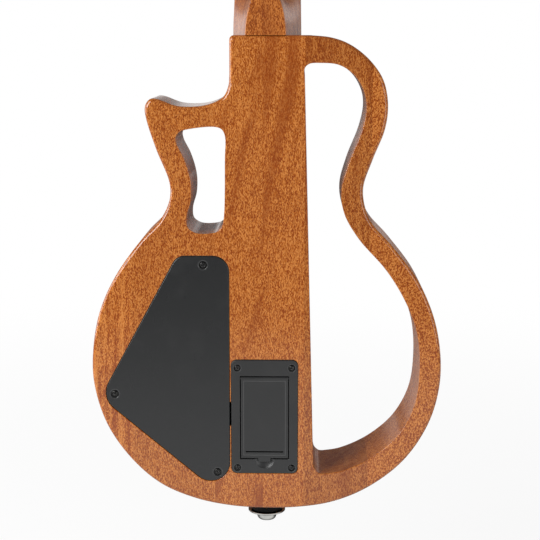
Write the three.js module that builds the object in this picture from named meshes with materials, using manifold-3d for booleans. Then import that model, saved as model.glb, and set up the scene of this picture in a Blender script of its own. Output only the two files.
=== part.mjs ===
// Electro-acoustic tenor ukulele with a framed, see-through solid body and a battery preamp.
// Millimetres. +Z runs up the neck, +Y is the string side, and the origin is on the nut line.

import * as THREE from 'three';
import { mergeVertices } from 'three/addons/utils/BufferGeometryUtils.js';
import Module from 'manifold-3d';

const wasm = await Module();
wasm.setup();

// Scale, strings and fingerboard
const scaleLength = 430;
const fretsToJoint = 14;
const fretCount = 18;
const fretsPerOctave = 12;
const nutHalfWidth = 18.5;
const jointHalfWidth = 21.8;
const boardThickness = 5;
const boardBeyondLastFret = 7;
const fretHeight = 1;
const fretHalfWidth = 1.1;
const fretSetback = 0.4;
const thickestStringRadius = 0.5;
const stringSpreadAtNut = 28;
const stringSpreadAtSaddle = 41;
const stringAboveBoardAtNut = 1.9;
const stringAboveFretAtMiddle = 3;
const stringClearance = 0.3;

// Neck and headstock
const faceY = 4.5;
const shaftDepthAtNut = 14.2;
const shaftDepthAtJoint = 17;
const heelCapHalfWidth = 12.5;
const heelCapHeight = 29.8;
const heelSweep = 36;
const shaftFullness = 0.8;
const tenonWidth = 24;
const tenonLength = 26;
const tenonInset = 9;
const nutLength = 5;
const nutTopMargin = 0.4;
const headTilt = THREE.MathUtils.degToRad(13);
const headLength = 120;
const headHalfWidth = 34;
const headThickness = 14;
const headHiddenRoot = 12;

// Body: thick boards glued edge to edge, routed from the back
const bodyLength = 302.5;
const bodyHalfWidth = 111.2;
const bodyDepth = 50;
const cavitySkin = 4;
const edgeRound = 2.4;
const neckCornerRound = 2.9;
const cutawayStep = 0.5;

// Control cover, its screws and the control cavity
const coverThickness = 2.4;
const coverGap = 0.2;
const coverLedge = 5;
const coverTopLeftRound = 8.6;
const coverTopRightRound = 10.2;
const coverBottomRightRound = 12.4;
const coverBottomLeftRound = 13.4;
const coverScrewTopInset = 5.8;
const coverScrewTopOffset = 16.4;
const coverScrewCornerInset = 9.2;
const coverScrewCornerRise = 2.4;
const coverScrewFromArcX = 4.4;
const coverScrewFromArcZ = 6.4;
const bossRadius = 5;
const webWidth = 1.1;

// Wood screws of the cover and of the battery box
const coverScrewHeadRadius = 2.1;
const coverScrewShankRadius = 1.1;
const coverScrewLength = 12;
const coverScrewPocketRadius = 2.7;
const coverScrewPocketDepth = 1.3;
const boxScrewHeadRadius = 1.9;
const boxScrewShankRadius = 0.9;
const boxScrewLength = 10;
const boxScrewPocketRadius = 2.4;
const boxScrewPocketDepth = 1.2;
const screwHeadDepth = 1;
const crossSlotWidth = 0.6;
const crossSlotDepth = 0.6;

// Battery box, its door and the battery
const boxSideMargin = 5.5;
const boxTopMargin = 10.5;
const boxCornerRound = 3.4;
const boxCentreX = -0.8;
const boxAboveBottomEdge = 24;
const flangeThickness = 2.5;
const flangeProud = 0.4;
const boxGap = 0.2;
const openingAboveBoxEnd = 9.5;
const batterySideRoom = 2.45;
const batteryEndRoom = 9;
const boxWall = 1.5;
const boxScrewSideInset = 3.8;
const boxScrewTopInset = 5.2;
const boxScrewBottomInset = 3.6;
const doorThickness = 2;
const doorGap = 0.5;
const knuckleRadius = 1.1;
const doorPinRadius = 0.6;
const doorPinLength = 1.4;
const pinClearance = 0.2;
const latchTabWidth = 7.8;
const latchTabLength = 2.4;
const latchTabThickness = 1;
const latchSlitWidth = 24.4;
const latchSlitHeight = 1.2;
const latchSlitAboveEdge = 3.6;
const fingerScoopRadius = 6.4;
const fingerScoopDepth = 1.6;
const batteryWidth = 26.5;
const batteryThickness = 17.5;
const batteryHeight = 46;
const batteryStudHeight = 2.2;
const batteryStudRadius = 3.4;
const batteryStudSpacing = 12.7;
const batteryClearance = 0.3;
const contactPlateThickness = 1.5;
const contactPlateWidth = 26;
const contactPlateDepth = 12;

// Notch and bores for the leads
const wireNotchHeight = 16;
const wireNotchDepth = 9;
const wireNotchAboveBoxEnd = 31.4;
const boxWireSlotHeight = 6;
const boxWireSlotDepth = 5;
const wireBoreRadius = 2.6;
const pickupBoreRadius = 1.6;
const pickupBoreDrop = 4;
const leadRadius = 0.8;
const pickupLeadRadius = 0.6;
const leadEndGap = 0.3;

// Pots, knobs and preamp board
const potAboveCoverCorner = 10.7;
const potRadius = 8;
const potDepth = 8.8;
const bushingRadius = 3.5;
const bushingProud = 2.6;
const bushingHoleGap = 0.3;
const potNutRadius = 5.6;
const potNutThickness = 1.8;
const potShaftRadius = 3;
const potShaftClearance = 0.2;
const potShaftDepth = 12;
const knobRadius = 8.8;
const knobHeight = 13;
const knobTopInset = 1.2;
const knobUnderGap = 0.5;
const knobHollowRadius = 6.6;
const knobHollowDepth = 3;
const boardHeight = 30;
const circuitThickness = 1.6;
const connectorWidth = 6;
const connectorHeight = 5;
const connectorDepth = 4;
const chipWidth = 10;
const chipHeight = 8;
const chipDepth = 1.8;
const capacitorRadius = 2.5;
const capacitorHeight = 7;
const componentSink = 0.2;

// Endpin jack
const jackBoreRadius = 3.25;
const jackBarrelRadius = 5.5;
const jackThreadRadius = 4.6;
const jackInnerLength = 27;
const jackHoleGap = 0.3;
const jackChamberLength = 31;
const collarRadius = 10.3;
const collarTopRadius = 9.6;
const collarLength = 8.2;
const dishRadius = 12.3;
const dishRim = 1.1;
const dishLength = 3;
const dishNeckRadius = 6.6;
const jackNutRadius = 6.4;
const jackNutLength = 3.8;
const jackNutRound = 1.8;
const jackStackGap = 0.2;
const jackBarrelShort = 0.8;

// Bridge and saddle
const bridgeHalfLength = 27;
const bridgeAhead = 8;
const bridgeBehind = 18;
const bridgeHeight = 7;
const saddleThickness = 2.9;
const saddleHalfLength = 24.6;
const saddleSlotGap = 0.15;
const saddleSlotFloor = 2;
const piezoThickness = 1;
const trenchStart = 4;
const trenchEnd = 11;
const trenchFloor = 2.5;
const tieHoleHeight = 3.7;
const tieHoleRadius = 1.1;
const stringTail = 1.2;

// Tuning machines
const gearTeeth = 14;
const postX = 21;
const firstPostZ = 38;
const postPitch = 36;
const postRadius = 3;
const postWaistRadius = 2.6;
const postWaistStart = 2.6;
const postWaistEnd = 9.6;
const postTop = 12.4;
const postTaper = 0.5;
const windingTop = 8.6;
const windingTurns = 2.75;
const windingPitchGap = 0.5;
const gearRadius = 5;
const gearThickness = 3.2;
const meshGap = 0.2;
const wormRadius = 2.2;
const wormHalfLength = 4;
const bushSleeveRadius = 4;
const bushFlangeRadius = 5.6;
const bushFlangeThickness = 1.5;
const bushSleeveLength = 9;
const runningGap = 0.3;
const housingHalfWidth = 7.6;
const housingThickness = 9.8;
const housingWall = 1.7;
const housingRound = 1.2;
const buttonStemRadius = 1.6;
const buttonStart = 17.5;
const buttonLength = 13;
const buttonHalfWidth = 8.6;
const buttonHalfThickness = 4.1;
const buttonCollarRadius = 3;
const buttonCollarLength = 2.4;

// Shared clearances
const seatGap = 0.3;
const overrun = 1;
const weldDistance = 1e-5;

// Counts that set how finely round shapes are cut into flats
const spanSteps = 2;
const cornerSteps = 4;
const edgeSteps = 2;
const roundSides = 16;
const smallSides = 10;
const tubeSides = 6;
const leadSteps = 26;
const windingStepsPerTurn = 12;

// Body outline, from the shoulder beside the neck, round the lower bout, to the cutaway.
// Shares of the body's half width, and of its length measured down from the neck joint.
const outlineShares = [
  [0.244, 0], [0.36, 0.0045], [0.46, 0.0175], [0.57, 0.048], [0.65, 0.0895], [0.678, 0.14],
  [0.662, 0.19], [0.596, 0.252], [0.545, 0.314], [0.585, 0.375], [0.71, 0.4285],
  [0.863, 0.503], [0.96, 0.585], [1, 0.666], [0.994, 0.736], [0.936, 0.812], [0.8, 0.891],
  [0.6, 0.951], [0.4, 0.984], [0.2, 0.9975], [-0.03, 1], [-0.21, 0.9955], [-0.41, 0.98],
  [-0.61, 0.948], [-0.78, 0.893], [-0.92, 0.816], [-0.99, 0.729], [-0.994, 0.66],
  [-0.952, 0.575], [-0.86, 0.499], [-0.71, 0.4215], [-0.595, 0.377], [-0.541, 0.335],
  [-0.54, 0.3], [-0.611, 0.232], [-0.665, 0.17], [-0.673, 0.147], [-0.6605, 0.1345],
  [-0.637, 0.1275], [-0.6, 0.1285], [-0.5, 0.1415], [-0.4, 0.1435], [-0.31, 0.138],
  [-0.235, 0.1235], [-0.207, 0.102],
];
const cutawayShare = 0.08;

// The large opening is a curve closed by one straight edge; the small one is all curve.
const largeOpeningShares = [
  [0.275, 0.9], [0.284, 0.911], [0.312, 0.9205], [0.365, 0.92], [0.45, 0.9135],
  [0.61, 0.885], [0.76, 0.8365], [0.853, 0.772], [0.88, 0.695], [0.862, 0.6155],
  [0.795, 0.549], [0.683, 0.4815], [0.52, 0.413], [0.44, 0.361], [0.424, 0.316],
  [0.462, 0.26], [0.535, 0.19], [0.558, 0.1455], [0.545, 0.114], [0.49, 0.08],
  [0.405, 0.0595], [0.305, 0.0555], [0.24, 0.0575], [0.2165, 0.066], [0.217, 0.08],
];
const smallOpeningShares = [
  [-0.285, 0.1845], [-0.245, 0.1895], [-0.2265, 0.203], [-0.2275, 0.25], [-0.234, 0.365],
  [-0.245, 0.388], [-0.275, 0.4005], [-0.325, 0.4045], [-0.395, 0.403], [-0.438, 0.392],
  [-0.444, 0.37], [-0.42, 0.335], [-0.42, 0.295], [-0.455, 0.25], [-0.495, 0.22],
  [-0.5, 0.2055], [-0.48, 0.195], [-0.44, 0.19],
];

// Glue seams between the body's boards, as shares of its half width.
const leftSeamShare = -0.297;
const rightSeamShare = 0.198;

// Strings 1 to 4, as shares of the thickest one's radius.
const stringShares = [0.6, 0.84, 1, 0.72];

// Corners of the control cover that follow the body: top edge, left corner, foot of the slant.
const coverTopShare = 0.4515;
const coverTopLeftShare = -0.503;
const coverLeftShares = [-0.953, 0.756];
const coverFootShare = 0.9857;

// Pots and preamp board, as shares of the cover's width measured from its straight right edge.
const potShares = [0.265, 0.555];
const boardEdgeShares = [0.107, 0.72];

// Domed screw head, as shares of its radius and depth, and how far its cross slot reaches.
const screwDomeShares = [[1, 0.33], [0.7, 0.85], [0, 1]];
const crossReachShare = 0.62;

// Half outline of the headstock, as shares of its half width and its length.
const headShares = [
  [0.57, 0.06], [0.66, 0.12], [0.86, 0.18], [0.96, 0.27], [0.985, 0.45], [0.99, 0.65],
  [1, 0.83], [0.96, 0.9], [0.8, 0.925], [0.55, 0.925], [0.28, 0.955],
];

// Places worked out from the dimensions
const fretDistance = (fret) => scaleLength * (1 - 2 ** (-fret / fretsPerOctave));
const jointZ = -fretDistance(fretsToJoint);
const bottomZ = jointZ - bodyLength;
const saddleZ = -scaleLength;
const boardEndZ = -fretDistance(fretCount) - boardBeyondLastFret;
const boardTopY = faceY + boardThickness;
const cavityFloorY = faceY - cavitySkin;
const backY = faceY - bodyDepth;
const middleY = (faceY + backY) / 2;
const cutawayX = -(jointHalfWidth + cutawayStep);
const leftSeamX = leftSeamShare * bodyHalfWidth;
const rightSeamX = rightSeamShare * bodyHalfWidth;

const openingWidth = batteryWidth + 2 * batterySideRoom;
const openingHeight = batteryHeight + batteryEndRoom;
const boxLeft = boxCentreX - openingWidth / 2 - boxSideMargin;
const boxRight = boxCentreX + openingWidth / 2 + boxSideMargin;
const boxBottom = bottomZ + boxAboveBottomEdge;
const boxTop = boxBottom + openingAboveBoxEnd + openingHeight + boxTopMargin;
const flangeOuterY = backY - flangeProud;
const flangeInnerY = flangeOuterY + flangeThickness;
const openingBottom = boxBottom + openingAboveBoxEnd;
const openingTop = openingBottom + openingHeight;
const openingLeft = boxCentreX - openingWidth / 2;
const openingRight = boxCentreX + openingWidth / 2;
const doorInnerY = flangeOuterY + doorThickness;
const trayFloorY = doorInnerY + batteryThickness + 2 * batteryClearance;
const trayOuterY = trayFloorY + boxWall;
const wireNotchZ = boxBottom + wireNotchAboveBoxEnd + wireNotchHeight / 2;

const bodyPoint = ([across, down]) =>
  new THREE.Vector2(across * bodyHalfWidth, jointZ - down * bodyLength);

const coverRight = boxLeft - webWidth;
const coverTopZ = jointZ - coverTopShare * bodyLength;
const coverLeftPoint = bodyPoint(coverLeftShares);
const coverFootZ = jointZ - coverFootShare * bodyLength;
const coverCorners = [
  { x: coverTopLeftShare * bodyHalfWidth, z: coverTopZ, round: coverTopLeftRound },
  { x: coverRight, z: coverTopZ, round: coverTopRightRound },
  { x: coverRight, z: coverFootZ, round: coverBottomRightRound },
  { x: coverLeftPoint.x, z: coverLeftPoint.y, round: coverBottomLeftRound },
];
const coverFloorY = backY + coverThickness;
const cavityRight = coverRight - coverLedge;

const acrossCover = (share) => coverRight + share * (coverLeftPoint.x - coverRight);
const potZ = coverLeftPoint.y + potAboveCoverCorner;
const potPlaces = potShares.map((share) => [acrossCover(share), potZ]);
const [boardRight, boardLeft] = boardEdgeShares.map(acrossCover);
const boardCentreX = (boardLeft + boardRight) / 2;
const boardBackY = cavityFloorY - potDepth - circuitThickness;
const jackZ = bottomZ;
const jackChamberTop = bottomZ + jackChamberLength;
const wireBoreZ = jackChamberTop - wireBoreRadius;
const wireBoreY = middleY;

// The pickup lead leaves the saddle slot through a hole in the bridge, then a slanted bore to the cavity.
const pickupX = -saddleHalfLength + overrun;
const pickupBoreEnd = new THREE.Vector3(
  cavityRight - pickupBoreRadius,
  cavityFloorY - pickupBoreDrop,
  saddleZ,
);
const pickupBoreStart = new THREE.Vector3(pickupX, faceY, saddleZ);
const pickupBore = [
  pickupBoreStart.clone().lerp(pickupBoreEnd, -pickupBoreRadius / pickupBoreDrop).toArray(),
  pickupBoreEnd.toArray(),
];

const stringYAtNut = boardTopY + stringAboveBoardAtNut;
const stringYAtMiddle = boardTopY + fretHeight + stringAboveFretAtMiddle;
const stringRise = (stringYAtMiddle - stringYAtNut) / fretDistance(fretsPerOctave);
const stringYAtSaddle = stringYAtNut + stringRise * scaleLength;
const stringRadii = stringShares.map((share) => share * thickestStringRadius);

// Materials
const finish = (color, roughness, metalness) =>
  new THREE.MeshStandardMaterial({ color, roughness, metalness, flatShading: true });
const mahogany = () => finish(0xac632c, 0.4, 0);
const darkWood = () => finish(0x3a2418, 0.55, 0);
const blackPlastic = () => finish(0x262628, 0.45, 0);
const chrome = () => finish(0xd4d4d2, 0.15, 1);
const blackSteel = () => finish(0x1d1d1f, 0.35, 0.8);
const bone = () => finish(0xe8e0cc, 0.5, 0);
const nylon = () => finish(0xe6e2d8, 0.35, 0);
const pearl = () => finish(0xe2ded2, 0.3, 0);
const circuitGreen = () => finish(0x1f5a3a, 0.6, 0);
const leadBlack = () => finish(0x161616, 0.6, 0);

// Geometry helpers

function toSolid(geometry) {
  const bare = geometry.clone();
  bare.deleteAttribute('normal');
  bare.deleteAttribute('uv');
  const welded = mergeVertices(bare, weldDistance);
  const position = welded.attributes.position;
  const index = welded.index.array;
  const corners = [];
  let volume = 0;
  const [a, b, c] = [new THREE.Vector3(), new THREE.Vector3(), new THREE.Vector3()];
  for (let i = 0; i < index.length; i += 3) {
    const [p, q, r] = [index[i], index[i + 1], index[i + 2]];
    if (p === q || q === r || r === p) continue;
    corners.push([p, q, r]);
    a.fromBufferAttribute(position, p);
    b.fromBufferAttribute(position, q);
    c.fromBufferAttribute(position, r);
    volume += a.dot(b.cross(c));
  }
  const outward = volume > 0 ? corners : corners.map(([p, q, r]) => [p, r, q]);
  return new wasm.Manifold(new wasm.Mesh({
    numProp: 3,
    vertProperties: Float32Array.from(position.array),
    triVerts: Uint32Array.from(outward.flat()),
  }));
}

function toGeometry(solid) {
  const mesh = solid.getMesh();
  const geometry = new THREE.BufferGeometry();
  geometry.setAttribute('position', new THREE.BufferAttribute(mesh.vertProperties, mesh.numProp));
  geometry.setIndex(new THREE.BufferAttribute(mesh.triVerts, 1));
  geometry.computeVertexNormals();
  return geometry;
}

function join(...geometries) {
  return geometries.map(toSolid).reduce((whole, next) => whole.add(next));
}

function block([x0, x1], [y0, y1], [z0, z1]) {
  const geometry = new THREE.BoxGeometry(x1 - x0, y1 - y0, z1 - z0);
  return geometry.translate((x0 + x1) / 2, (y0 + y1) / 2, (z0 + z1) / 2);
}

function rod(radius, from, to, sides = roundSides) {
  const start = new THREE.Vector3(...from);
  const along = new THREE.Vector3(...to).sub(start);
  const geometry = new THREE.CylinderGeometry(radius, radius, along.length(), sides);
  const turn = new THREE.Quaternion();
  turn.setFromUnitVectors(new THREE.Vector3(0, 1, 0), along.clone().normalize());
  geometry.applyQuaternion(turn);
  return geometry.translate(...start.addScaledVector(along, 0.5).toArray());
}

// A turned piece about the Y axis from [radius, height] pairs.
function turned(profile, sides = roundSides) {
  return new THREE.LatheGeometry(profile.map(([r, h]) => new THREE.Vector2(r, h)), sides);
}

function wound(outline, clockwise) {
  const asIs = THREE.ShapeUtils.isClockWise(outline) === clockwise;
  return asIs ? outline : outline.slice().reverse();
}

// A plate in the XZ plane between two depths, with its edges rounded on both faces if asked.
function slab(outline, [y0, y1], { holes = [], round = 0 } = {}) {
  const shape = new THREE.Shape(wound(outline, false));
  shape.holes = holes.map((hole) => new THREE.Path(wound(hole, true)));
  const geometry = new THREE.ExtrudeGeometry(shape, {
    depth: y1 - y0 - 2 * round,
    bevelEnabled: round > 0,
    bevelSegments: edgeSteps,
    bevelSize: round,
    bevelThickness: round,
    bevelOffset: -round,
  });
  return geometry.rotateX(Math.PI / 2).translate(0, y1 - round, 0);
}

function smoothRun(points, closed) {
  const route = points.map((point) => new THREE.Vector3(point.x, point.y, 0));
  const spans = closed ? points.length : points.length - 1;
  const curve = new THREE.CatmullRomCurve3(route, closed, 'centripetal');
  const run = curve.getPoints(spans * spanSteps).map((p) => new THREE.Vector2(p.x, p.y));
  return closed ? run.slice(0, -1) : run;
}

// The arc that rounds one corner of an outline, from corners of the form { x, z, round }.
function cornerArc(corners, i) {
  const corner = corners[i];
  const here = new THREE.Vector2(corner.x, corner.z);
  const before = corners[(i + corners.length - 1) % corners.length];
  const after = corners[(i + 1) % corners.length];
  const back = new THREE.Vector2(before.x, before.z).sub(here).normalize();
  const ahead = new THREE.Vector2(after.x, after.z).sub(here).normalize();
  const half = Math.acos(back.dot(ahead)) / 2;
  const inward = back.clone().add(ahead).normalize();
  const centre = here.clone().addScaledVector(inward, corner.round / Math.sin(half));
  const start = here.clone().addScaledVector(back, corner.round / Math.tan(half)).sub(centre);
  const end = here.clone().addScaledVector(ahead, corner.round / Math.tan(half)).sub(centre);
  return { centre, start, end };
}

function roundedOutline(corners) {
  const outline = [];
  corners.forEach((corner, i) => {
    const { centre, start, end } = cornerArc(corners, i);
    const from = start.angle();
    let sweep = end.angle() - from;
    sweep -= 2 * Math.PI * Math.round(sweep / (2 * Math.PI));
    for (let step = 0; step <= cornerSteps; step += 1) {
      const angle = from + (sweep * step) / cornerSteps;
      outline.push(new THREE.Vector2(Math.cos(angle), Math.sin(angle))
        .multiplyScalar(corner.round).add(centre));
    }
  });
  return outline;
}

// The same corners with every edge moved inward (or outward, if negative) by a distance.
function insetCorners(corners, distance) {
  const middle = new THREE.Vector2();
  corners.forEach(({ x, z }) => middle.add(new THREE.Vector2(x, z)));
  middle.divideScalar(corners.length);
  const edges = corners.map(({ x, z }, i) => {
    const next = corners[(i + 1) % corners.length];
    const start = new THREE.Vector2(x, z);
    const along = new THREE.Vector2(next.x, next.z).sub(start).normalize();
    const normal = new THREE.Vector2(-along.y, along.x);
    if (normal.dot(middle.clone().sub(start)) < 0) normal.negate();
    return { start: start.addScaledVector(normal, distance), along };
  });
  return corners.map(({ round }, i) => {
    const first = edges[(i + corners.length - 1) % corners.length];
    const second = edges[i];
    const apart = second.start.clone().sub(first.start);
    const reach = apart.cross(second.along) / first.along.cross(second.along);
    const point = first.start.clone().addScaledVector(first.along, reach);
    return { x: point.x, z: point.y, round: Math.max(round - distance, round / 2) };
  });
}

function rectangleCorners([x0, x1], [z0, z1], round) {
  return [[x0, z0], [x1, z0], [x1, z1], [x0, z1]].map(([x, z]) => ({ x, z, round }));
}

function circle(x, z, radius, sides = roundSides) {
  return Array.from({ length: sides }, (_, i) => {
    const angle = (2 * Math.PI * i) / sides;
    return new THREE.Vector2(x + radius * Math.cos(angle), z + radius * Math.sin(angle));
  });
}

// A route that is cut exactly at its own stations, so that short bends stay sharp.
class StationCurve extends THREE.Curve {
  constructor(stations) {
    super();
    this.stations = stations;
  }

  getPoint(t, target = new THREE.Vector3()) {
    const place = t * (this.stations.length - 1);
    const before = Math.min(Math.floor(place), this.stations.length - 2);
    return target.lerpVectors(this.stations[before], this.stations[before + 1], place - before);
  }

  getUtoTmapping(u) {
    return u;
  }
}

function tube(stations, radius) {
  return new THREE.ExtrudeGeometry(new THREE.Shape(circle(0, 0, radius, tubeSides)), {
    steps: stations.length - 1,
    extrudePath: new StationCurve(stations),
  });
}

// Reshapes an extrusion of unit length: every vertex is moved by a function of its place.
function reshaped(outline, steps, place) {
  const geometry = new THREE.ExtrudeGeometry(new THREE.Shape(outline), {
    depth: 1,
    steps,
    bevelEnabled: false,
  });
  const position = geometry.attributes.position;
  for (let i = 0; i < position.count; i += 1) {
    position.setXYZ(i, ...place(position.getX(i), position.getY(i), position.getZ(i)));
  }
  return geometry;
}

const ukulele = new THREE.Group();

function addPart(name, shape, material, parent = ukulele) {
  const mesh = new THREE.Mesh(toGeometry(shape), material);
  mesh.name = name;
  parent.add(mesh);
  return mesh;
}

// Body outline and its two openings

const cutawayPoint = new THREE.Vector2(cutawayX, jointZ - cutawayShare * bodyLength);
const bodyOutline = [
  ...smoothRun([...outlineShares.map(bodyPoint), cutawayPoint], false),
  ...Array.from({ length: cornerSteps + 1 }, (_, i) => {
    const angle = Math.PI - (Math.PI / 2) * (i / cornerSteps);
    return new THREE.Vector2(
      cutawayX + neckCornerRound * (1 + Math.cos(angle)),
      jointZ - neckCornerRound * (1 - Math.sin(angle)),
    );
  }),
];
const largeOpening = smoothRun(largeOpeningShares.map(bodyPoint), false);
const smallOpening = smoothRun(smallOpeningShares.map(bodyPoint), true);

// Cover screw places: one under the top edge, one by each lower corner
const coverFootArc = cornerArc(coverCorners, coverCorners.length - 2);
const coverScrewPlaces = [
  [coverRight - coverScrewTopOffset, coverTopZ - coverScrewTopInset],
  [coverLeftPoint.x + coverScrewCornerInset, coverLeftPoint.y + coverScrewCornerRise],
  [coverFootArc.centre.x + coverScrewFromArcX, coverFootArc.centre.y - coverScrewFromArcZ],
];
const boxScrewPlaces = [
  [boxLeft + boxScrewSideInset, boxTop - boxScrewTopInset],
  [boxRight - boxScrewSideInset, boxTop - boxScrewTopInset],
  [boxLeft + boxScrewSideInset, boxBottom + boxScrewBottomInset],
  [boxRight - boxScrewSideInset, boxBottom + boxScrewBottomInset],
];

const cavityCorners = insetCorners(coverCorners, coverLedge);

function makeCavity() {
  let cavity = toSolid(slab(roundedOutline(cavityCorners), [backY - overrun, cavityFloorY]));
  for (const [x, z] of coverScrewPlaces) {
    cavity = cavity.subtract(toSolid(rod(
      bossRadius,
      [x, backY - 2 * overrun, z],
      [x, cavityFloorY + overrun, z],
    )));
  }
  return cavity;
}

function makeBody() {
  const flangeCorners = rectangleCorners(
    [boxLeft - boxGap, boxRight + boxGap],
    [boxBottom - boxGap, boxTop + boxGap],
    boxCornerRound + boxGap,
  );
  const trayGap = boxWall + boxGap;
  const cuts = [
    slab(largeOpening, [backY - overrun, faceY + overrun]),
    slab(smallOpening, [backY - overrun, faceY + overrun]),
    slab(roundedOutline(insetCorners(coverCorners, -coverGap)), [backY - overrun, coverFloorY]),
    slab(roundedOutline(flangeCorners), [backY - overrun, flangeInnerY]),
    block(
      [openingLeft - trayGap, openingRight + trayGap],
      [backY - overrun, trayOuterY + boxGap],
      [openingBottom - trayGap, openingTop + trayGap],
    ),
    block(
      [cavityRight - overrun, openingLeft - boxWall],
      [backY - overrun, backY + wireNotchDepth],
      [wireNotchZ - wireNotchHeight / 2, wireNotchZ + wireNotchHeight / 2],
    ),
    rod(jackBarrelRadius + jackHoleGap, [0, middleY, bottomZ - overrun], [0, middleY, jackChamberTop]),
    rod(
      wireBoreRadius,
      [0, wireBoreY, wireBoreZ],
      [cavityRight - 2 * bossRadius, wireBoreY, wireBoreZ],
      smallSides,
    ),
    rod(pickupBoreRadius, ...pickupBore, smallSides),
    block(
      [-tenonWidth / 2 - seatGap, tenonWidth / 2 + seatGap],
      [backY + tenonInset - seatGap, faceY - tenonInset + seatGap],
      [jointZ - tenonLength - seatGap, jointZ + overrun],
    ),
    ...potPlaces.map(([x, z]) => rod(
      bushingRadius + bushingHoleGap,
      [x, cavityFloorY - overrun, z],
      [x, faceY + overrun, z],
    )),
    ...coverScrewPlaces.map(([x, z]) => rod(
      coverScrewShankRadius + coverGap,
      [x, backY, z],
      [x, coverFloorY + coverScrewLength, z],
      smallSides,
    )),
    ...boxScrewPlaces.map(([x, z]) => rod(
      boxScrewShankRadius + boxGap,
      [x, backY, z],
      [x, flangeInnerY + boxScrewLength, z],
      smallSides,
    )),
  ];
  const rough = slab(bodyOutline, [backY, faceY], { round: edgeRound });
  return cuts.reduce((whole, cut) => whole.subtract(toSolid(cut)), toSolid(rough))
    .subtract(makeCavity());
}

// The body's wood is glued from boards; each is the body between two seams.
const body = makeBody();
const farSide = 2 * bodyHalfWidth;
const boards = {
  body_left: [-farSide, leftSeamX],
  body_centre: [leftSeamX, rightSeamX],
  body_right: [rightSeamX, farSide],
};
Object.entries(boards).forEach(([name, reach]) => {
  const room = block(reach, [backY - overrun, faceY + overrun], [bottomZ - overrun, jointZ + overrun]);
  addPart(name, body.intersect(toSolid(room)), mahogany());
});

// Neck: shaft, heel, tenon and headstock in one piece of wood

const headFrame = new THREE.Matrix4()
  .makeRotationX(headTilt)
  .setPosition(0, faceY, nutLength);

function halfWidthAt(z) {
  const share = Math.max(0, z / jointZ);
  return nutHalfWidth + (jointHalfWidth - nutHalfWidth) * share;
}

const postPlaces = [
  { side: -1, z: firstPostZ },
  { side: -1, z: firstPostZ + postPitch },
  { side: 1, z: firstPostZ + postPitch },
  { side: 1, z: firstPostZ },
];

function halfRound(steps) {
  return Array.from({ length: steps + 1 }, (_, i) => {
    const angle = (Math.PI * i) / steps;
    return new THREE.Vector2(Math.cos(angle), Math.sin(angle));
  });
}

function makeShaft() {
  const section = halfRound(roundSides);
  const steps = 6;
  return reshaped(section, steps, (across, deep, along) => {
    const z = nutLength + (jointZ - nutLength) * along;
    const share = Math.max(0, z / jointZ);
    const depth = shaftDepthAtNut + (shaftDepthAtJoint - shaftDepthAtNut) * share;
    return [across * halfWidthAt(z), faceY - deep ** shaftFullness * depth, z];
  });
}

function makeHeel() {
  const section = halfRound(roundSides);
  const steps = 6;
  const heelDepth = faceY - backY - shaftDepthAtJoint / 2;
  return reshaped(section, steps, (across, up, along) => {
    const lift = Math.sin((along * Math.PI) / 2);
    const halfWidth = heelCapHalfWidth + (jointHalfWidth - heelCapHalfWidth) * lift;
    const height = heelCapHeight + heelSweep * (1 - Math.cos((along * Math.PI) / 2));
    return [across * halfWidth, backY + heelDepth * lift, jointZ + up * height];
  });
}

function makeHead() {
  const right = headShares.map(([across, up]) =>
    new THREE.Vector2(across * headHalfWidth, up * headLength));
  const root = new THREE.Vector2(nutHalfWidth, -headHiddenRoot);
  const rootTop = new THREE.Vector2(nutHalfWidth, 0);
  const crown = new THREE.Vector2(0, headLength);
  const mirrored = right.map((point) => new THREE.Vector2(-point.x, point.y)).reverse();
  const curve = smoothRun([rootTop, ...right, crown, ...mirrored,
    new THREE.Vector2(-rootTop.x, rootTop.y)], false);
  const outline = [root, ...curve, new THREE.Vector2(-root.x, root.y)];
  return slab(outline, [-headThickness, 0], {
    holes: postPlaces.map(({ side, z }) =>
      circle(side * postX, z, bushSleeveRadius + seatGap)),
  }).applyMatrix4(headFrame);
}

function makeNeck() {
  const tenon = block(
    [-tenonWidth / 2, tenonWidth / 2],
    [backY + tenonInset, faceY - tenonInset],
    [jointZ - tenonLength, jointZ + overrun],
  );
  const aboveNutSeat = block(
    [-headHalfWidth, headHalfWidth],
    [faceY, faceY + headHiddenRoot],
    [-headHiddenRoot - overrun, nutLength],
  );
  return join(makeShaft(), makeHeel(), makeHead(), tenon).subtract(toSolid(aboveNutSeat));
}

addPart('neck', makeNeck(), mahogany());

// Fingerboard with its row of fret ridges, and the nut

function makeFingerboard() {
  const endHalfWidth = halfWidthAt(boardEndZ);
  const outline = [
    new THREE.Vector2(-nutHalfWidth, 0),
    new THREE.Vector2(-endHalfWidth, boardEndZ),
    new THREE.Vector2(endHalfWidth, boardEndZ),
    new THREE.Vector2(nutHalfWidth, 0),
  ];
  let board = toSolid(slab(outline, [faceY, boardTopY]));
  const crownShape = [
    new THREE.Vector2(-fretHalfWidth, -fretHeight),
    new THREE.Vector2(-fretHalfWidth, 0),
    new THREE.Vector2(0, fretHeight),
    new THREE.Vector2(fretHalfWidth, 0),
    new THREE.Vector2(fretHalfWidth, -fretHeight),
  ];
  for (let fret = 1; fret <= fretCount; fret += 1) {
    const z = -fretDistance(fret);
    const halfLength = halfWidthAt(z) - fretSetback;
    const ridge = new THREE.ExtrudeGeometry(new THREE.Shape(crownShape), {
      depth: 2 * halfLength,
      bevelEnabled: false,
    });
    ridge.rotateY(Math.PI / 2).translate(-halfLength, boardTopY, z);
    board = board.add(toSolid(ridge));
  }
  return board;
}

const stringPlaces = stringRadii.map((radius, i) => {
  const share = i / (stringRadii.length - 1) - 0.5;
  return {
    radius,
    nutX: share * stringSpreadAtNut,
    saddleX: share * stringSpreadAtSaddle,
  };
});

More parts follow.
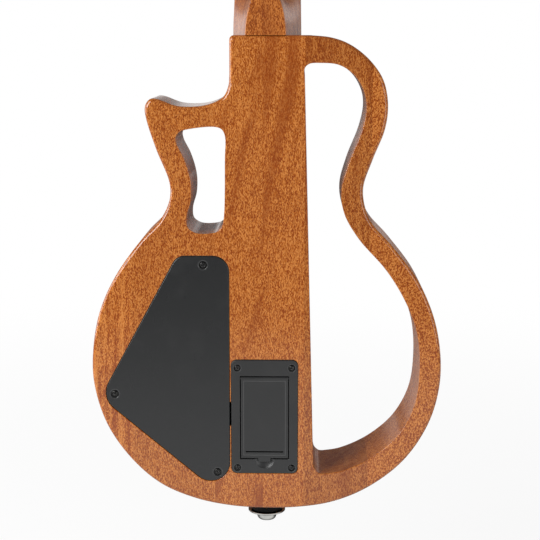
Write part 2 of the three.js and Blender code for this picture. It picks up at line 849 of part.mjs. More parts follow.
function makeNut() {
  const top = stringYAtNut + nutTopMargin;
  const body = toSolid(block([-nutHalfWidth, nutHalfWidth], [faceY, top], [0, nutLength]));
  return stringPlaces.reduce((whole, { radius, nutX }) => whole.subtract(toSolid(block(
    [nutX - radius - stringClearance, nutX + radius + stringClearance],
    [stringYAtNut - radius - stringClearance, top + overrun],
    [-overrun, nutLength + overrun],
  ))), body);
}

addPart('fingerboard', makeFingerboard(), darkWood());
addPart('nut', makeNut(), bone());

// Bridge with its saddle slot and tie block, the piezo strip and the saddle

const slotFloorY = faceY + saddleSlotFloor;
const piezoY = [slotFloorY + saddleSlotGap, slotFloorY + saddleSlotGap + piezoThickness];

function makeBridge() {
  const topY = faceY + bridgeHeight;
  const outline = rectangleCorners(
    [-bridgeHalfLength, bridgeHalfLength],
    [saddleZ - bridgeBehind, saddleZ + bridgeAhead],
    bridgeHeight / 2,
  );
  const halfSlot = saddleThickness / 2 + saddleSlotGap;
  const cuts = [
    block(
      [-saddleHalfLength - saddleSlotGap, saddleHalfLength + saddleSlotGap],
      [slotFloorY, topY + overrun],
      [saddleZ - halfSlot, saddleZ + halfSlot],
    ),
    block(
      [-bridgeHalfLength - overrun, bridgeHalfLength + overrun],
      [faceY + trenchFloor, topY + overrun],
      [saddleZ - trenchEnd, saddleZ - trenchStart],
    ),
    rod(
      tieHoleRadius,
      [pickupX, faceY - overrun, saddleZ],
      [pickupX, slotFloorY + overrun, saddleZ],
      smallSides,
    ),
    ...stringPlaces.map(({ saddleX }) => rod(
      tieHoleRadius,
      [saddleX, faceY + tieHoleHeight, saddleZ - bridgeBehind - overrun],
      [saddleX, faceY + tieHoleHeight, saddleZ - trenchEnd + overrun],
      smallSides,
    )),
  ];
  const body = toSolid(slab(roundedOutline(outline), [faceY, topY]));
  return cuts.reduce((whole, cut) => whole.subtract(toSolid(cut)), body);
}

addPart('bridge', makeBridge(), darkWood());
addPart('piezo_strip', toSolid(block(
  [-saddleHalfLength, saddleHalfLength],
  piezoY,
  [saddleZ - saddleThickness / 2, saddleZ + saddleThickness / 2],
)), blackSteel());
addPart('saddle', toSolid(block(
  [-saddleHalfLength, saddleHalfLength],
  [piezoY[1], stringYAtSaddle - thickestStringRadius - stringClearance],
  [saddleZ - saddleThickness / 2, saddleZ + saddleThickness / 2],
)), bone());

// Control cover and its three screws

function screwHoles(places, pocketRadius, pocketDepth, shankRadius, outerY, innerY) {
  return places.flatMap(([x, z]) => [
    rod(pocketRadius, [x, outerY - overrun, z], [x, outerY + pocketDepth, z]),
    rod(shankRadius, [x, outerY, z], [x, innerY + overrun, z], smallSides),
  ]);
}

function makeCover() {
  const plate = toSolid(slab(roundedOutline(coverCorners), [backY, coverFloorY]));
  return screwHoles(coverScrewPlaces, coverScrewPocketRadius, coverScrewPocketDepth,
    coverScrewShankRadius + coverGap, backY, coverFloorY)
    .reduce((whole, hole) => whole.subtract(toSolid(hole)), plate);
}

// A dome-headed cross-slot wood screw; its head seats at seatY and its tip points to +Y.
function makeScrew([x, z], headRadius, shankRadius, length, seatY) {
  const tip = seatY + length;
  const body = toSolid(turned([
    [0, tip],
    [shankRadius, tip - 2 * shankRadius],
    [shankRadius, seatY],
    [headRadius, seatY],
    ...screwDomeShares.map(([out, up]) => [out * headRadius, seatY - up * screwHeadDepth]),
  ], smallSides + 2).translate(x, 0, z));
  const slotReach = crossReachShare * headRadius;
  const slotY = [seatY - screwHeadDepth - overrun, seatY - screwHeadDepth + crossSlotDepth];
  const half = crossSlotWidth / 2;
  return body
    .subtract(toSolid(block([x - slotReach, x + slotReach], slotY, [z - half, z + half])))
    .subtract(toSolid(block([x - half, x + half], slotY, [z - slotReach, z + slotReach])));
}

addPart('control_cover', makeCover(), blackPlastic());
coverScrewPlaces.forEach((place, i) => addPart(
  `cover_screw_${i + 1}`,
  makeScrew(place, coverScrewHeadRadius, coverScrewShankRadius,
    coverScrewLength - coverScrewPocketDepth, backY + coverScrewPocketDepth),
  blackSteel(),
));

// Battery box: flange and tray in one moulding

const hingeZ = openingTop - doorGap - knuckleRadius;
const hingeY = flangeOuterY + knuckleRadius;

function makeBatteryBox() {
  const flange = slab(
    roundedOutline(rectangleCorners([boxLeft, boxRight], [boxBottom, boxTop], boxCornerRound)),
    [flangeOuterY, flangeInnerY],
  );
  const tray = block(
    [openingLeft - boxWall, openingRight + boxWall],
    [flangeInnerY - overrun, trayOuterY],
    [openingBottom - boxWall, openingTop + boxWall],
  );
  const pinReach = openingWidth / 2 + doorPinLength + pinClearance;
  const cuts = [
    block(
      [openingLeft, openingRight],
      [flangeOuterY - overrun, trayFloorY],
      [openingBottom, openingTop],
    ),
    rod(
      doorPinRadius + pinClearance,
      [boxCentreX - pinReach, hingeY, hingeZ],
      [boxCentreX + pinReach, hingeY, hingeZ],
      smallSides,
    ),
    rod(
      fingerScoopRadius,
      [boxCentreX, flangeOuterY - overrun, openingBottom],
      [boxCentreX, flangeOuterY + fingerScoopDepth, openingBottom],
    ),
    block(
      [openingLeft - boxWall - overrun, openingLeft + overrun],
      [flangeInnerY + overrun, flangeInnerY + overrun + boxWireSlotDepth],
      [wireNotchZ - boxWireSlotHeight / 2, wireNotchZ + boxWireSlotHeight / 2],
    ),
    ...screwHoles(boxScrewPlaces, boxScrewPocketRadius, boxScrewPocketDepth,
      boxScrewShankRadius + boxGap, flangeOuterY, flangeInnerY),
  ];
  return cuts.reduce((whole, cut) => whole.subtract(toSolid(cut)), join(flange, tray));
}

function makeDoor() {
  const left = openingLeft + doorGap;
  const right = openingRight - doorGap;
  const bottom = openingBottom + doorGap;
  const panel = block([left, right], [flangeOuterY, doorInnerY], [bottom, hingeZ]);
  const knuckle = rod(knuckleRadius, [left, hingeY, hingeZ], [right, hingeY, hingeZ]);
  const pin = rod(
    doorPinRadius,
    [openingLeft - doorPinLength, hingeY, hingeZ],
    [openingRight + doorPinLength, hingeY, hingeZ],
    smallSides,
  );
  const tab = block(
    [boxCentreX - latchTabWidth / 2, boxCentreX + latchTabWidth / 2],
    [flangeOuterY, flangeOuterY + latchTabThickness],
    [bottom - latchTabLength, bottom + overrun],
  );
  const slitZ = bottom + latchSlitAboveEdge;
  const slit = block(
    [boxCentreX - latchSlitWidth / 2, boxCentreX + latchSlitWidth / 2],
    [flangeOuterY - overrun, doorInnerY + overrun],
    [slitZ, slitZ + latchSlitHeight],
  );
  return join(panel, knuckle, pin, tab).subtract(toSolid(slit));
}

const batteryBackY = doorInnerY + batteryClearance;
const batteryBottom = openingBottom + batteryClearance;
const batteryTop = batteryBottom + batteryHeight;
const batteryMiddleY = batteryBackY + batteryThickness / 2;
const contactTop = openingTop - batteryClearance;

function makeBattery() {
  const can = block(
    [boxCentreX - batteryWidth / 2, boxCentreX + batteryWidth / 2],
    [batteryBackY, batteryBackY + batteryThickness],
    [batteryBottom, batteryTop],
  );
  const studs = [-1, 1].map((side) => {
    const x = boxCentreX + (side * batteryStudSpacing) / 2;
    return rod(
      batteryStudRadius,
      [x, batteryMiddleY, batteryTop - overrun],
      [x, batteryMiddleY, batteryTop + batteryStudHeight],
      smallSides,
    );
  });
  return join(can, ...studs);
}

function makeContacts() {
  const plate = block(
    [boxCentreX - contactPlateWidth / 2, boxCentreX + contactPlateWidth / 2],
    [batteryMiddleY - contactPlateDepth / 2, batteryMiddleY + contactPlateDepth / 2],
    [contactTop - contactPlateThickness, contactTop],
  );
  const snaps = [-1, 1].map((side) => {
    const x = boxCentreX + (side * batteryStudSpacing) / 2;
    return rod(
      batteryStudRadius,
      [x, batteryMiddleY, contactTop - overrun],
      [x, batteryMiddleY, batteryTop + batteryStudHeight + batteryClearance],
      smallSides,
    );
  });
  return join(plate, ...snaps);
}

addPart('battery_box', makeBatteryBox(), blackPlastic());
addPart('battery_door', makeDoor(), blackPlastic());
boxScrewPlaces.forEach((place, i) => addPart(
  `box_screw_${i + 1}`,
  makeScrew(place, boxScrewHeadRadius, boxScrewShankRadius,
    boxScrewLength - boxScrewPocketDepth, flangeOuterY + boxScrewPocketDepth),
  blackSteel(),
));
addPart('battery_9v', makeBattery(), finish(0x8a6a2a, 0.4, 0.5));
addPart('battery_contacts', makeContacts(), chrome());

// Pots, their nuts and knobs, and the preamp board that they carry

function makePot([x, z]) {
  const bottomY = cavityFloorY - potDepth;
  const boreEnd = faceY + bushingProud - potShaftDepth;
  return toSolid(turned([
    [0, bottomY],
    [potRadius, bottomY],
    [potRadius, cavityFloorY],
    [bushingRadius, cavityFloorY],
    [bushingRadius, faceY + bushingProud],
    [potShaftRadius + potShaftClearance, faceY + bushingProud],
    [potShaftRadius + potShaftClearance, boreEnd - potShaftClearance],
    [0, boreEnd - potShaftClearance],
  ]).translate(x, 0, z));
}

function makePotNut([x, z]) {
  const nutOutline = circle(x, z, potNutRadius, 6);
  const bore = circle(x, z, bushingRadius + potShaftClearance);
  return toSolid(slab(nutOutline, [faceY, faceY + potNutThickness], { holes: [bore] }));
}

function makeKnob([x, z]) {
  const bottomY = faceY + knobUnderGap;
  const topY = bottomY + knobHeight;
  const shaftEnd = faceY + bushingProud - potShaftDepth;
  return toSolid(turned([
    [0, shaftEnd],
    [potShaftRadius, shaftEnd],
    [potShaftRadius, bottomY + knobHollowDepth],
    [knobHollowRadius, bottomY + knobHollowDepth],
    [knobHollowRadius, bottomY],
    [knobRadius, bottomY],
    [knobRadius, topY - knobTopInset],
    [knobRadius - knobTopInset, topY],
    [0, topY],
  ], roundSides + 4).translate(x, 0, z));
}

const connectorPlaces = [1, 0, -1].map((step) =>
  [boardRight - connectorWidth, potZ + (step * boardHeight) / 3]);

function makeBoard() {
  const onBoard = [boardBackY - connectorDepth, boardBackY + componentSink];
  const board = block(
    [boardLeft, boardRight],
    [boardBackY, boardBackY + circuitThickness],
    [potZ - boardHeight / 2, potZ + boardHeight / 2],
  );
  const connectors = connectorPlaces.map(([x, z]) => block(
    [x - connectorWidth / 2, x + connectorWidth / 2],
    onBoard,
    [z - connectorHeight / 2, z + connectorHeight / 2],
  ));
  const chips = [-1, 1].map((side) => {
    const x = boardCentreX + side * chipWidth;
    return block(
      [x - chipWidth / 3, x + chipWidth / 3],
      [boardBackY - chipDepth, boardBackY + componentSink],
      [potZ - chipHeight / 2, potZ + chipHeight / 2],
    );
  });
  const capacitors = [-1, 1].map((side) => {
    const x = boardLeft + 2 * capacitorRadius;
    const z = potZ + (side * boardHeight) / 4;
    return rod(
      capacitorRadius,
      [x, boardBackY - capacitorHeight, z],
      [x, boardBackY + componentSink, z],
      smallSides,
    );
  });
  return join(board, ...connectors, ...chips, ...capacitors);
}

['volume', 'tone'].forEach((name, i) => {
  addPart(`${name}_pot`, makePot(potPlaces[i]), chrome());
  addPart(`${name}_pot_nut`, makePotNut(potPlaces[i]), chrome());
  addPart(`${name}_knob`, makeKnob(potPlaces[i]), blackPlastic());
});
addPart('preamp_board', makeBoard(), circuitGreen());

// Endpin jack: barrel through the bottom, then collar, dished washer and nut outside

function onJackAxis(profile, sides = roundSides) {
  return toSolid(turned(profile, sides).rotateX(Math.PI / 2).translate(0, middleY, jackZ));
}

const collarEnd = jackStackGap + collarLength;
const dishStart = collarEnd + jackStackGap;
const dishEnd = dishStart + dishLength;
const jackNutStart = dishEnd + jackStackGap;
const jackNutEnd = jackNutStart + jackNutLength;
const jackBarrelEnd = jackNutEnd - jackBarrelShort;
const threadHoleRadius = jackThreadRadius + jackStackGap;

function ringProfile(inner, pairs) {
  const last = pairs[pairs.length - 1][1];
  return [[inner, -pairs[0][1]], ...pairs.map(([r, down]) => [r, -down]), [inner, -last],
    [inner, -pairs[0][1]]];
}

addPart('jack_barrel', onJackAxis([
  [jackBoreRadius, jackInnerLength],
  [jackBarrelRadius, jackInnerLength],
  [jackBarrelRadius, 0],
  [jackThreadRadius, 0],
  [jackThreadRadius, -jackBarrelEnd],
  [jackBoreRadius, -jackBarrelEnd],
  [jackBoreRadius, jackInnerLength],
]), chrome());
addPart('jack_collar', onJackAxis(ringProfile(threadHoleRadius, [
  [collarTopRadius, jackStackGap],
  [collarRadius, collarLength / 3],
  [collarRadius, collarEnd],
]), roundSides + 8), blackPlastic());
addPart('jack_washer', onJackAxis(ringProfile(threadHoleRadius, [
  [dishRadius, dishStart],
  [dishRadius, dishStart + dishRim],
  [(dishRadius + dishNeckRadius) / 2, dishStart + (dishRim + dishLength) / 2],
  [dishNeckRadius, dishEnd],
]), roundSides + 8), chrome());
addPart('jack_nut', onJackAxis(ringProfile(threadHoleRadius, [
  [jackNutRadius, jackNutStart],
  [jackNutRadius, jackNutEnd - jackNutRound],
  [jackNutRadius - jackNutRound / 3, jackNutEnd - jackNutRound / 3],
  [jackNutRadius - jackNutRound / 2, jackNutEnd],
])), chrome());

// Leads inside the body

function lead(name, points, radius) {
  const route = points.map(([x, y, z]) => new THREE.Vector3(x, y, z));
  const curve = new THREE.CatmullRomCurve3(route, false, 'centripetal');
  addPart(name, toSolid(tube(curve.getPoints(leadSteps), radius)), leadBlack());
}

const boardSideX = connectorPlaces[0][0];
const connectorBackY = boardBackY - connectorDepth - leadEndGap;
const sideRoomX = openingLeft + batterySideRoom / 2;
const notchY = flangeInnerY + overrun + boxWireSlotDepth / 2;
const contactUnderZ = contactTop - contactPlateThickness - leadEndGap;
const contactLeadX = boxCentreX - contactPlateWidth / 2 + leadRadius;

lead('battery_lead', [
  [contactLeadX, batteryMiddleY, contactUnderZ],
  [contactLeadX, batteryMiddleY, contactUnderZ - 2 * leadRadius],
  [sideRoomX, (batteryMiddleY + notchY) / 2, batteryTop],
  [sideRoomX, notchY, wireNotchZ + boxWireSlotHeight],
  [openingLeft, notchY, wireNotchZ],
  [openingLeft - 2 * boxWall, notchY, wireNotchZ],
  [cavityRight, notchY, wireNotchZ],
  [cavityRight - 2 * connectorWidth, (notchY + connectorBackY) / 2, (wireNotchZ + potZ) / 2],
  [boardSideX, connectorBackY - connectorDepth, connectorPlaces[1][1]],
  [boardSideX, connectorBackY, connectorPlaces[1][1]],
], leadRadius);
lead('jack_lead', [
  [0, middleY, bottomZ + jackInnerLength + leadEndGap],
  [-leadRadius, middleY, wireBoreZ - leadRadius],
  [-wireBoreRadius, wireBoreY, wireBoreZ],
  [boxLeft / 2, wireBoreY, wireBoreZ],
  [cavityRight, wireBoreY, wireBoreZ],
  [cavityRight - bossRadius, wireBoreY, wireBoreZ + wireBoreRadius],
  [boardSideX, connectorBackY - 2 * connectorDepth, (wireBoreZ + connectorPlaces[2][1]) / 2],
  [boardSideX, connectorBackY - connectorDepth, connectorPlaces[2][1]],
  [boardSideX, connectorBackY, connectorPlaces[2][1]],
], leadRadius);
lead('pickup_lead', [
  [pickupX, piezoY[0] - leadEndGap, saddleZ],
  [pickupX, faceY, saddleZ],
  pickupBoreStart.clone().lerp(pickupBoreEnd, 0.5).toArray(),
  pickupBoreEnd.toArray(),
  [pickupBoreEnd.x, (pickupBoreEnd.y + connectorBackY) / 2, saddleZ - leadEndGap],
  [pickupBoreEnd.x, connectorBackY - connectorDepth / 2, saddleZ - connectorDepth],
  [boardSideX, connectorBackY - connectorDepth, connectorPlaces[0][1] + connectorHeight],
  [boardSideX, connectorBackY - connectorDepth / 2, connectorPlaces[0][1]],
  [boardSideX, connectorBackY, connectorPlaces[0][1]],
], pickupLeadRadius);

// Tuning machines, in the headstock's own tilted frame

const wormZ = gearRadius + wormRadius + meshGap;
const housingFrontY = -headThickness - seatGap;
const housingBackY = housingFrontY - housingThickness;
const chamberY = [housingBackY + housingWall, housingFrontY - housingWall];
const gearY = (chamberY[0] + chamberY[1]) / 2;
const chamberZ = [-wormZ - wormRadius - runningGap, gearRadius + runningGap];
const chamberHalfWidth = housingHalfWidth - housingWall;

function makeHousing(side) {
  const corners = rectangleCorners(
    [-housingHalfWidth, housingHalfWidth],
    [chamberZ[0] - housingWall, chamberZ[1] + housingWall],
    2 * housingRound,
  );
  const cuts = [
    block([-chamberHalfWidth, chamberHalfWidth], chamberY, chamberZ),
    rod(postRadius + runningGap, [0, gearY, 0], [0, housingFrontY + overrun, 0]),
    rod(
      buttonStemRadius + runningGap,
      [0, gearY, -wormZ],
      [side * (housingHalfWidth + overrun), gearY, -wormZ],
      smallSides,
    ),
  ];
  const shell = slab(roundedOutline(corners), [housingBackY, housingFrontY], { round: housingRound });
  return cuts.reduce((whole, cut) => whole.subtract(toSolid(cut)), toSolid(shell));
}

function makePost() {
  const gearBottom = gearY - gearThickness / 2;
  const gearTop = gearY + gearThickness / 2;
  return toSolid(turned([
    [0, chamberY[0] + runningGap],
    [postWaistRadius, chamberY[0] + runningGap],
    [postWaistRadius, gearBottom],
    [gearRadius, gearBottom],
    [gearRadius, gearTop],
    [postRadius, gearTop],
    [postRadius, postWaistStart - postTaper],
    [postWaistRadius, postWaistStart],
    [postWaistRadius, postWaistEnd],
    [postRadius, postWaistEnd + postTaper],
    [postRadius, postTop - postTaper],
    [postRadius - postTaper, postTop],
    [0, postTop],
  ], smallSides + 2));
}

function makeBushing() {
  const bore = postRadius + runningGap;
  return toSolid(turned([
    [bore, seatGap + bushFlangeThickness],
    [bore, -bushSleeveLength],
    [bushSleeveRadius, -bushSleeveLength],
    [bushSleeveRadius, seatGap],
    [bushFlangeRadius, seatGap],
    [bushFlangeRadius, seatGap + bushFlangeThickness],
    [bore, seatGap + bushFlangeThickness],
  ], smallSides + 2));
}

function makeButton(side) {
  const stemStart = -chamberHalfWidth + runningGap;
  const collarStart = buttonStart - buttonCollarLength;
  const centre = buttonStart + buttonLength / 2;
  const stem = turned([
    [0, stemStart],
    [buttonStemRadius, stemStart],
    [buttonStemRadius, -wormHalfLength],
    [wormRadius, -wormHalfLength],
    [wormRadius, wormHalfLength],
    [buttonStemRadius, wormHalfLength],
    [buttonStemRadius, collarStart],
    [buttonCollarRadius, collarStart],
    [buttonCollarRadius, buttonStart + overrun],
    [0, buttonStart + overrun],
  ], smallSides);
  stem.rotateZ((-side * Math.PI) / 2);
  const grip = new THREE.SphereGeometry(1, smallSides + 2, 8);
  grip.scale(buttonLength / 2, buttonHalfThickness, buttonHalfWidth);
  grip.translate(side * centre, 0, 0);
  return join(stem, grip).translate([0, gearY, -wormZ]);
}

const headstock = new THREE.Group();
headstock.applyMatrix4(headFrame);
ukulele.add(headstock);

postPlaces.forEach(({ side, z }, i) => {
  const name = `tuner_${i + 1}`;
  const pieces = [
    addPart(`${name}_housing`, makeHousing(side), chrome(), headstock),
    addPart(`${name}_post`, makePost(), chrome(), headstock),
    addPart(`${name}_bushing`, makeBushing(), chrome(), headstock),
    addPart(`${name}_button`, makeButton(side), pearl(), headstock),
  ];
  pieces.forEach((piece) => piece.position.set(side * postX, 0, z));
});

// Strings: tied at the bridge, over saddle and nut, then wound round their posts

function windingStations(place, radius, from) {
  const centre = new THREE.Vector2(place.side * postX, place.z);
  const windingRadius = postWaistRadius + stringClearance + radius;
  const apart = new THREE.Vector2(from.x, from.z).sub(centre);
  const reach = Math.acos(windingRadius / apart.length());
  const start = apart.angle() - place.side * reach;
  const pitch = 2 * radius + windingPitchGap;
  const steps = Math.round(windingTurns * windingStepsPerTurn);
  return Array.from({ length: steps + 1 }, (_, i) => {
    const turns = i / windingStepsPerTurn;
    const angle = start - place.side * turns * 2 * Math.PI;
    return new THREE.Vector3(
      centre.x + windingRadius * Math.cos(angle),
      windingTop - turns * pitch,
      centre.y + windingRadius * Math.sin(angle),
    );
  });
}

function makeString({ radius, nutX, saddleX }, place) {
  const tieY = faceY + tieHoleHeight;
  const overNut = new THREE.Vector3(nutX, stringYAtNut, nutLength);
  const seenFromHead = overNut.clone().applyMatrix4(headFrame.clone().invert());
  const winding = windingStations(place, radius, seenFromHead)
    .map((point) => point.applyMatrix4(headFrame));
  return tube([
    new THREE.Vector3(saddleX, tieY, saddleZ - bridgeBehind - stringTail),
    new THREE.Vector3(saddleX, tieY, saddleZ - trenchEnd + stringTail / 2),
    new THREE.Vector3(saddleX, stringYAtSaddle, saddleZ - saddleThickness / 2),
    new THREE.Vector3(saddleX, stringYAtSaddle, saddleZ),
    new THREE.Vector3(nutX, stringYAtNut, 0),
    overNut,
    ...winding,
  ], radius);
}

stringPlaces.forEach((place, i) => addPart(
  `string_${i + 1}`,
  toSolid(makeString(place, postPlaces[i])),
  nylon(),
));

// Gear ratio of the tuning machines, kept with the model for whoever drives its joints.
ukulele.userData.tunerRatio = gearTeeth;

export default ukulele;
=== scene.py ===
"""Looks of a framed, see-through electro-acoustic ukulele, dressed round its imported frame.

Sizes are in millimetres and become metres where a mesh is made. +Z runs up the neck, +Y is the
string side, and the origin lies on the nut line.
"""

import logging
import math
from dataclasses import dataclass
from enum import Enum
from typing import Callable, Iterable, Sequence

import bmesh
import bpy
from mathutils import Matrix, Vector


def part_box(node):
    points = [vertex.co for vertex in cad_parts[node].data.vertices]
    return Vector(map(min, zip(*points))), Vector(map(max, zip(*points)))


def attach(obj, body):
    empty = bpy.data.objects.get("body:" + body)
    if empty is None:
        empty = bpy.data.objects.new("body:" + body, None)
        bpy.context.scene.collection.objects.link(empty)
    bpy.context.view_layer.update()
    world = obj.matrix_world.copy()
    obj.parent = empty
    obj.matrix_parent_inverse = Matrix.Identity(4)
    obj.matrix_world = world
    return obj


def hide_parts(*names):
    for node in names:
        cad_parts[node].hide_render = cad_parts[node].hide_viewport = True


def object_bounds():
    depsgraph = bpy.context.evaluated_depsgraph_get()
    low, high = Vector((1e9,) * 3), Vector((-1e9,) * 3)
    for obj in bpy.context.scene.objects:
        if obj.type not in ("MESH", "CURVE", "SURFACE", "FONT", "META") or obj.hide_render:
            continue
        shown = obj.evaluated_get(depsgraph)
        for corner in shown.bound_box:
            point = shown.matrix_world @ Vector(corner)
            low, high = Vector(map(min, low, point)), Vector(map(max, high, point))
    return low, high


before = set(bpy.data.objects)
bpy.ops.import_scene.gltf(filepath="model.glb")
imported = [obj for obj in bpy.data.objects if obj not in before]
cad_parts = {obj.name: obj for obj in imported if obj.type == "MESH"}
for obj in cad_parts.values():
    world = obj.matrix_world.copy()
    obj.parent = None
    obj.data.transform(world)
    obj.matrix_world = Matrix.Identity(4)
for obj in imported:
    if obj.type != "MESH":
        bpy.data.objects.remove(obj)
cad_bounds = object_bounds()

MM = 0.001
LOG = logging.getLogger("ukulele")

Point2 = tuple[float, float]
Point3 = tuple[float, float, float]
Colour = tuple[float, float, float]
Object = bpy.types.Object
Material = bpy.types.Material
Socket = bpy.types.NodeSocket
Tree = bpy.types.NodeTree
Wanted = Callable[[Vector, Vector], bool]


class Carrier(Enum):
    """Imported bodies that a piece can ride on."""

    BODY = "body"
    DOOR = "battery_door"
    VOLUME = "volume_knob"
    TONE = "tone_knob"
    POST_1 = "tuner_1_post"
    POST_2 = "tuner_2_post"
    POST_3 = "tuner_3_post"
    POST_4 = "tuner_4_post"
    BUTTON_1 = "tuner_1_button"
    BUTTON_2 = "tuner_2_button"
    BUTTON_3 = "tuner_3_button"
    BUTTON_4 = "tuner_4_button"


class Slot(Enum):
    """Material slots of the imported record."""

    BODY_WOOD = "body_wood"
    DARK_WOOD = "dark_wood"
    BONE = "bone"
    BLACK_PLASTIC = "black_plastic"
    KNOB_PLASTIC = "knob_plastic"
    BLACK_STEEL = "black_steel"
    CHROME = "chrome"
    PEARL = "pearl"
    NYLON = "nylon"
    CIRCUIT_BOARD = "circuit_board"
    BATTERY_CASE = "battery_case"


# Outlines


def anticlockwise(outline: Sequence[Point2]) -> list[Point2]:
    """Gives an outline in anticlockwise order.

    Args:
        outline: points across and up.

    Returns:
        The same points, turned round where they ran clockwise.
    """
    area = 0.0
    for here, ahead in zip(outline, [*outline[1:], outline[0]]):
        area += here[0] * ahead[1] - ahead[0] * here[1]
    return list(outline) if area > 0 else list(reversed(outline))


def spline(points: Sequence[Sequence[float]], steps: int, closed: bool = False) -> list[tuple]:
    """Draws a centripetal spline through points in a plane or in space.

    Args:
        points: places that the curve passes through.
        steps: how many pieces each span is cut into.
        closed: whether it returns to its first point.

    Returns:
        The points of the curve, without a repeated last one where it is closed.
    """
    knots = [Vector(point) for point in points]
    if closed:
        padded = [knots[-1], *knots, knots[0], knots[1]]
    else:
        padded = [2 * knots[0] - knots[1], *knots, 2 * knots[-1] - knots[-2]]
    run: list[tuple] = []
    for first in range(len(padded) - 3):
        before, start, end, after = padded[first:first + 4]
        gap_0, gap_1, gap_2 = (math.sqrt(step.length) for step in (start - before, end - start, after - end))
        leave = (start - before) / gap_0 - (end - before) / (gap_0 + gap_1) + (end - start) / gap_1
        reach = (end - start) / gap_1 - (after - start) / (gap_1 + gap_2) + (after - end) / gap_2
        leave *= gap_1
        reach *= gap_1
        bend = -3 * start + 3 * end - 2 * leave - reach
        close = 2 * start - 2 * end + leave + reach
        for step in range(steps):
            t = step / steps
            run.append(tuple(start + leave * t + bend * t ** 2 + close * t ** 3))
    return run if closed else [*run, tuple(knots[-1])]


def arc(centre: Point2, radius: float, start: float, sweep: float, steps: int) -> list[Point2]:
    """Draws a round stretch of an outline from a first angle over a sweep, both in radians."""
    angles = [start + sweep * step / steps for step in range(steps + 1)]
    return [(centre[0] + radius * math.cos(a), centre[1] + radius * math.sin(a)) for a in angles]


def rounded(corners: Sequence[Point3], steps: int) -> list[Point2]:
    """Rounds every corner of a straight-sided outline.

    Args:
        corners: place across and up of each corner, and the radius that rounds it.
        steps: how many pieces each arc is cut into.

    Returns:
        The outline's points.
    """
    outline: list[Point2] = []
    for i, (x, z, radius) in enumerate(corners):
        here = Vector((x, z))
        back = (Vector(corners[i - 1][:2]) - here).normalized()
        ahead = (Vector(corners[(i + 1) % len(corners)][:2]) - here).normalized()
        half = math.acos(back.dot(ahead)) / 2
        centre = here + (back + ahead).normalized() * radius / math.sin(half)
        start = here + back * radius / math.tan(half) - centre
        end = here + ahead * radius / math.tan(half) - centre
        first = math.atan2(start.y, start.x)
        sweep = math.remainder(math.atan2(end.y, end.x) - first, math.tau)
        outline += arc(tuple(centre), radius, first, sweep, steps)
    return outline


def rounded_box(x: Point2, z: Point2, radius: float, steps: int) -> list[Point2]:
    """Gives the outline of an upright rectangle between two sides, a bottom and a top."""
    places = ((x[0], z[0]), (x[1], z[0]), (x[1], z[1]), (x[0], z[1]))
    return rounded([(*place, radius) for place in places], steps)


def offset(outline: Sequence[Point2], distance: float) -> list[Point2]:
    """Moves an anticlockwise outline outward, or inward where the distance is negative.

    Args:
        outline: points across and up.
        distance: how far each side moves.

    Returns:
        As many points as the outline has.
    """
    moved: list[Point2] = []
    count = len(outline)
    for i in range(count):
        before, here, after = (Vector(outline[(i + step) % count]) for step in (-1, 0, 1))
        one = (here - before).normalized()
        two = (after - here).normalized()
        normal = Vector((one.y + two.y, -one.x - two.x)).normalized()
        stretch = max(normal.dot(Vector((one.y, -one.x))), 0.5)
        place = here + normal * distance / stretch
        moved.append((place.x, place.y))
    return moved


# Modelling helpers


def deselect_all() -> None:
    """Leaves edit mode and drops the selection."""
    if bpy.context.object and bpy.context.object.mode != "OBJECT":
        bpy.ops.object.mode_set(mode="OBJECT")
    bpy.ops.object.select_all(action="DESELECT")


def choose(*pieces: Object) -> None:
    """Selects just these pieces and makes the first one active.

    Args:
        pieces: what is selected.
    """
    deselect_all()
    for piece in pieces:
        piece.select_set(True)
    bpy.context.view_layer.objects.active = pieces[0]


def edit(piece: Object) -> None:
    """Opens a piece in edit mode with nothing selected.

    Args:
        piece: the piece to edit.
    """
    choose(piece)
    bpy.ops.object.mode_set(mode="EDIT")
    bpy.ops.mesh.select_all(action="DESELECT")


def done() -> None:
    """Closes edit mode."""
    bpy.ops.object.mode_set(mode="OBJECT")


def pick(piece: Object, kind: str, wanted: Wanted) -> None:
    """Opens a piece in edit mode and selects its faces or edges by their place.

    Args:
        piece: the piece to edit.
        kind: FACE or EDGE.
        wanted: says yes to a face from its centre in millimetres and its normal, and to an edge
            from its two ends in millimetres.
    """
    edit(piece)
    bpy.ops.mesh.select_mode(type=kind)
    shape = bmesh.from_edit_mesh(piece.data)
    if kind == "FACE":
        for face in shape.faces:
            face.select_set(wanted(face.calc_center_median() / MM, face.normal))
    else:
        for edge in shape.edges:
            edge.select_set(wanted(edge.verts[0].co / MM, edge.verts[1].co / MM))
    bmesh.update_edit_mesh(piece.data)


def bevel_edges(piece: Object, wanted: Wanted, width: float, segments: int) -> None:
    """Rounds some edges of a piece.

    Args:
        piece: the piece.
        wanted: says yes to an edge from its two ends.
        width: width of the rounding.
        segments: how many flats make the rounding.
    """
    pick(piece, "EDGE", wanted)
    bpy.ops.mesh.bevel(offset=width * MM, segments=segments)
    done()


def inset_faces(piece: Object, wanted: Wanted, *steps: Point2, apart: bool = False) -> None:
    """Insets some faces of a piece, step by step.

    Args:
        piece: the piece.
        wanted: says yes to a face from its centre and its normal.
        steps: width of each inset, and how far it lifts the faces.
        apart: whether each face is inset by itself.
    """
    pick(piece, "FACE", wanted)
    for width, lift in steps:
        bpy.ops.mesh.inset(thickness=width * MM, depth=lift * MM, use_individual=apart)
    done()


def shown(name: str, data: bpy.types.ID) -> Object:
    """Adds an object that shows a mesh, a curve, a lamp or a lens.

    Args:
        name: name of the object.
        data: what it shows.

    Returns:
        The object.
    """
    piece = bpy.data.objects.new(name, data)
    bpy.context.scene.collection.objects.link(piece)
    return piece


def apply(piece: Object, modifier: bpy.types.Modifier) -> None:
    """Applies one modifier of a piece."""
    choose(piece)
    bpy.ops.object.modifier_apply(modifier=modifier.name)


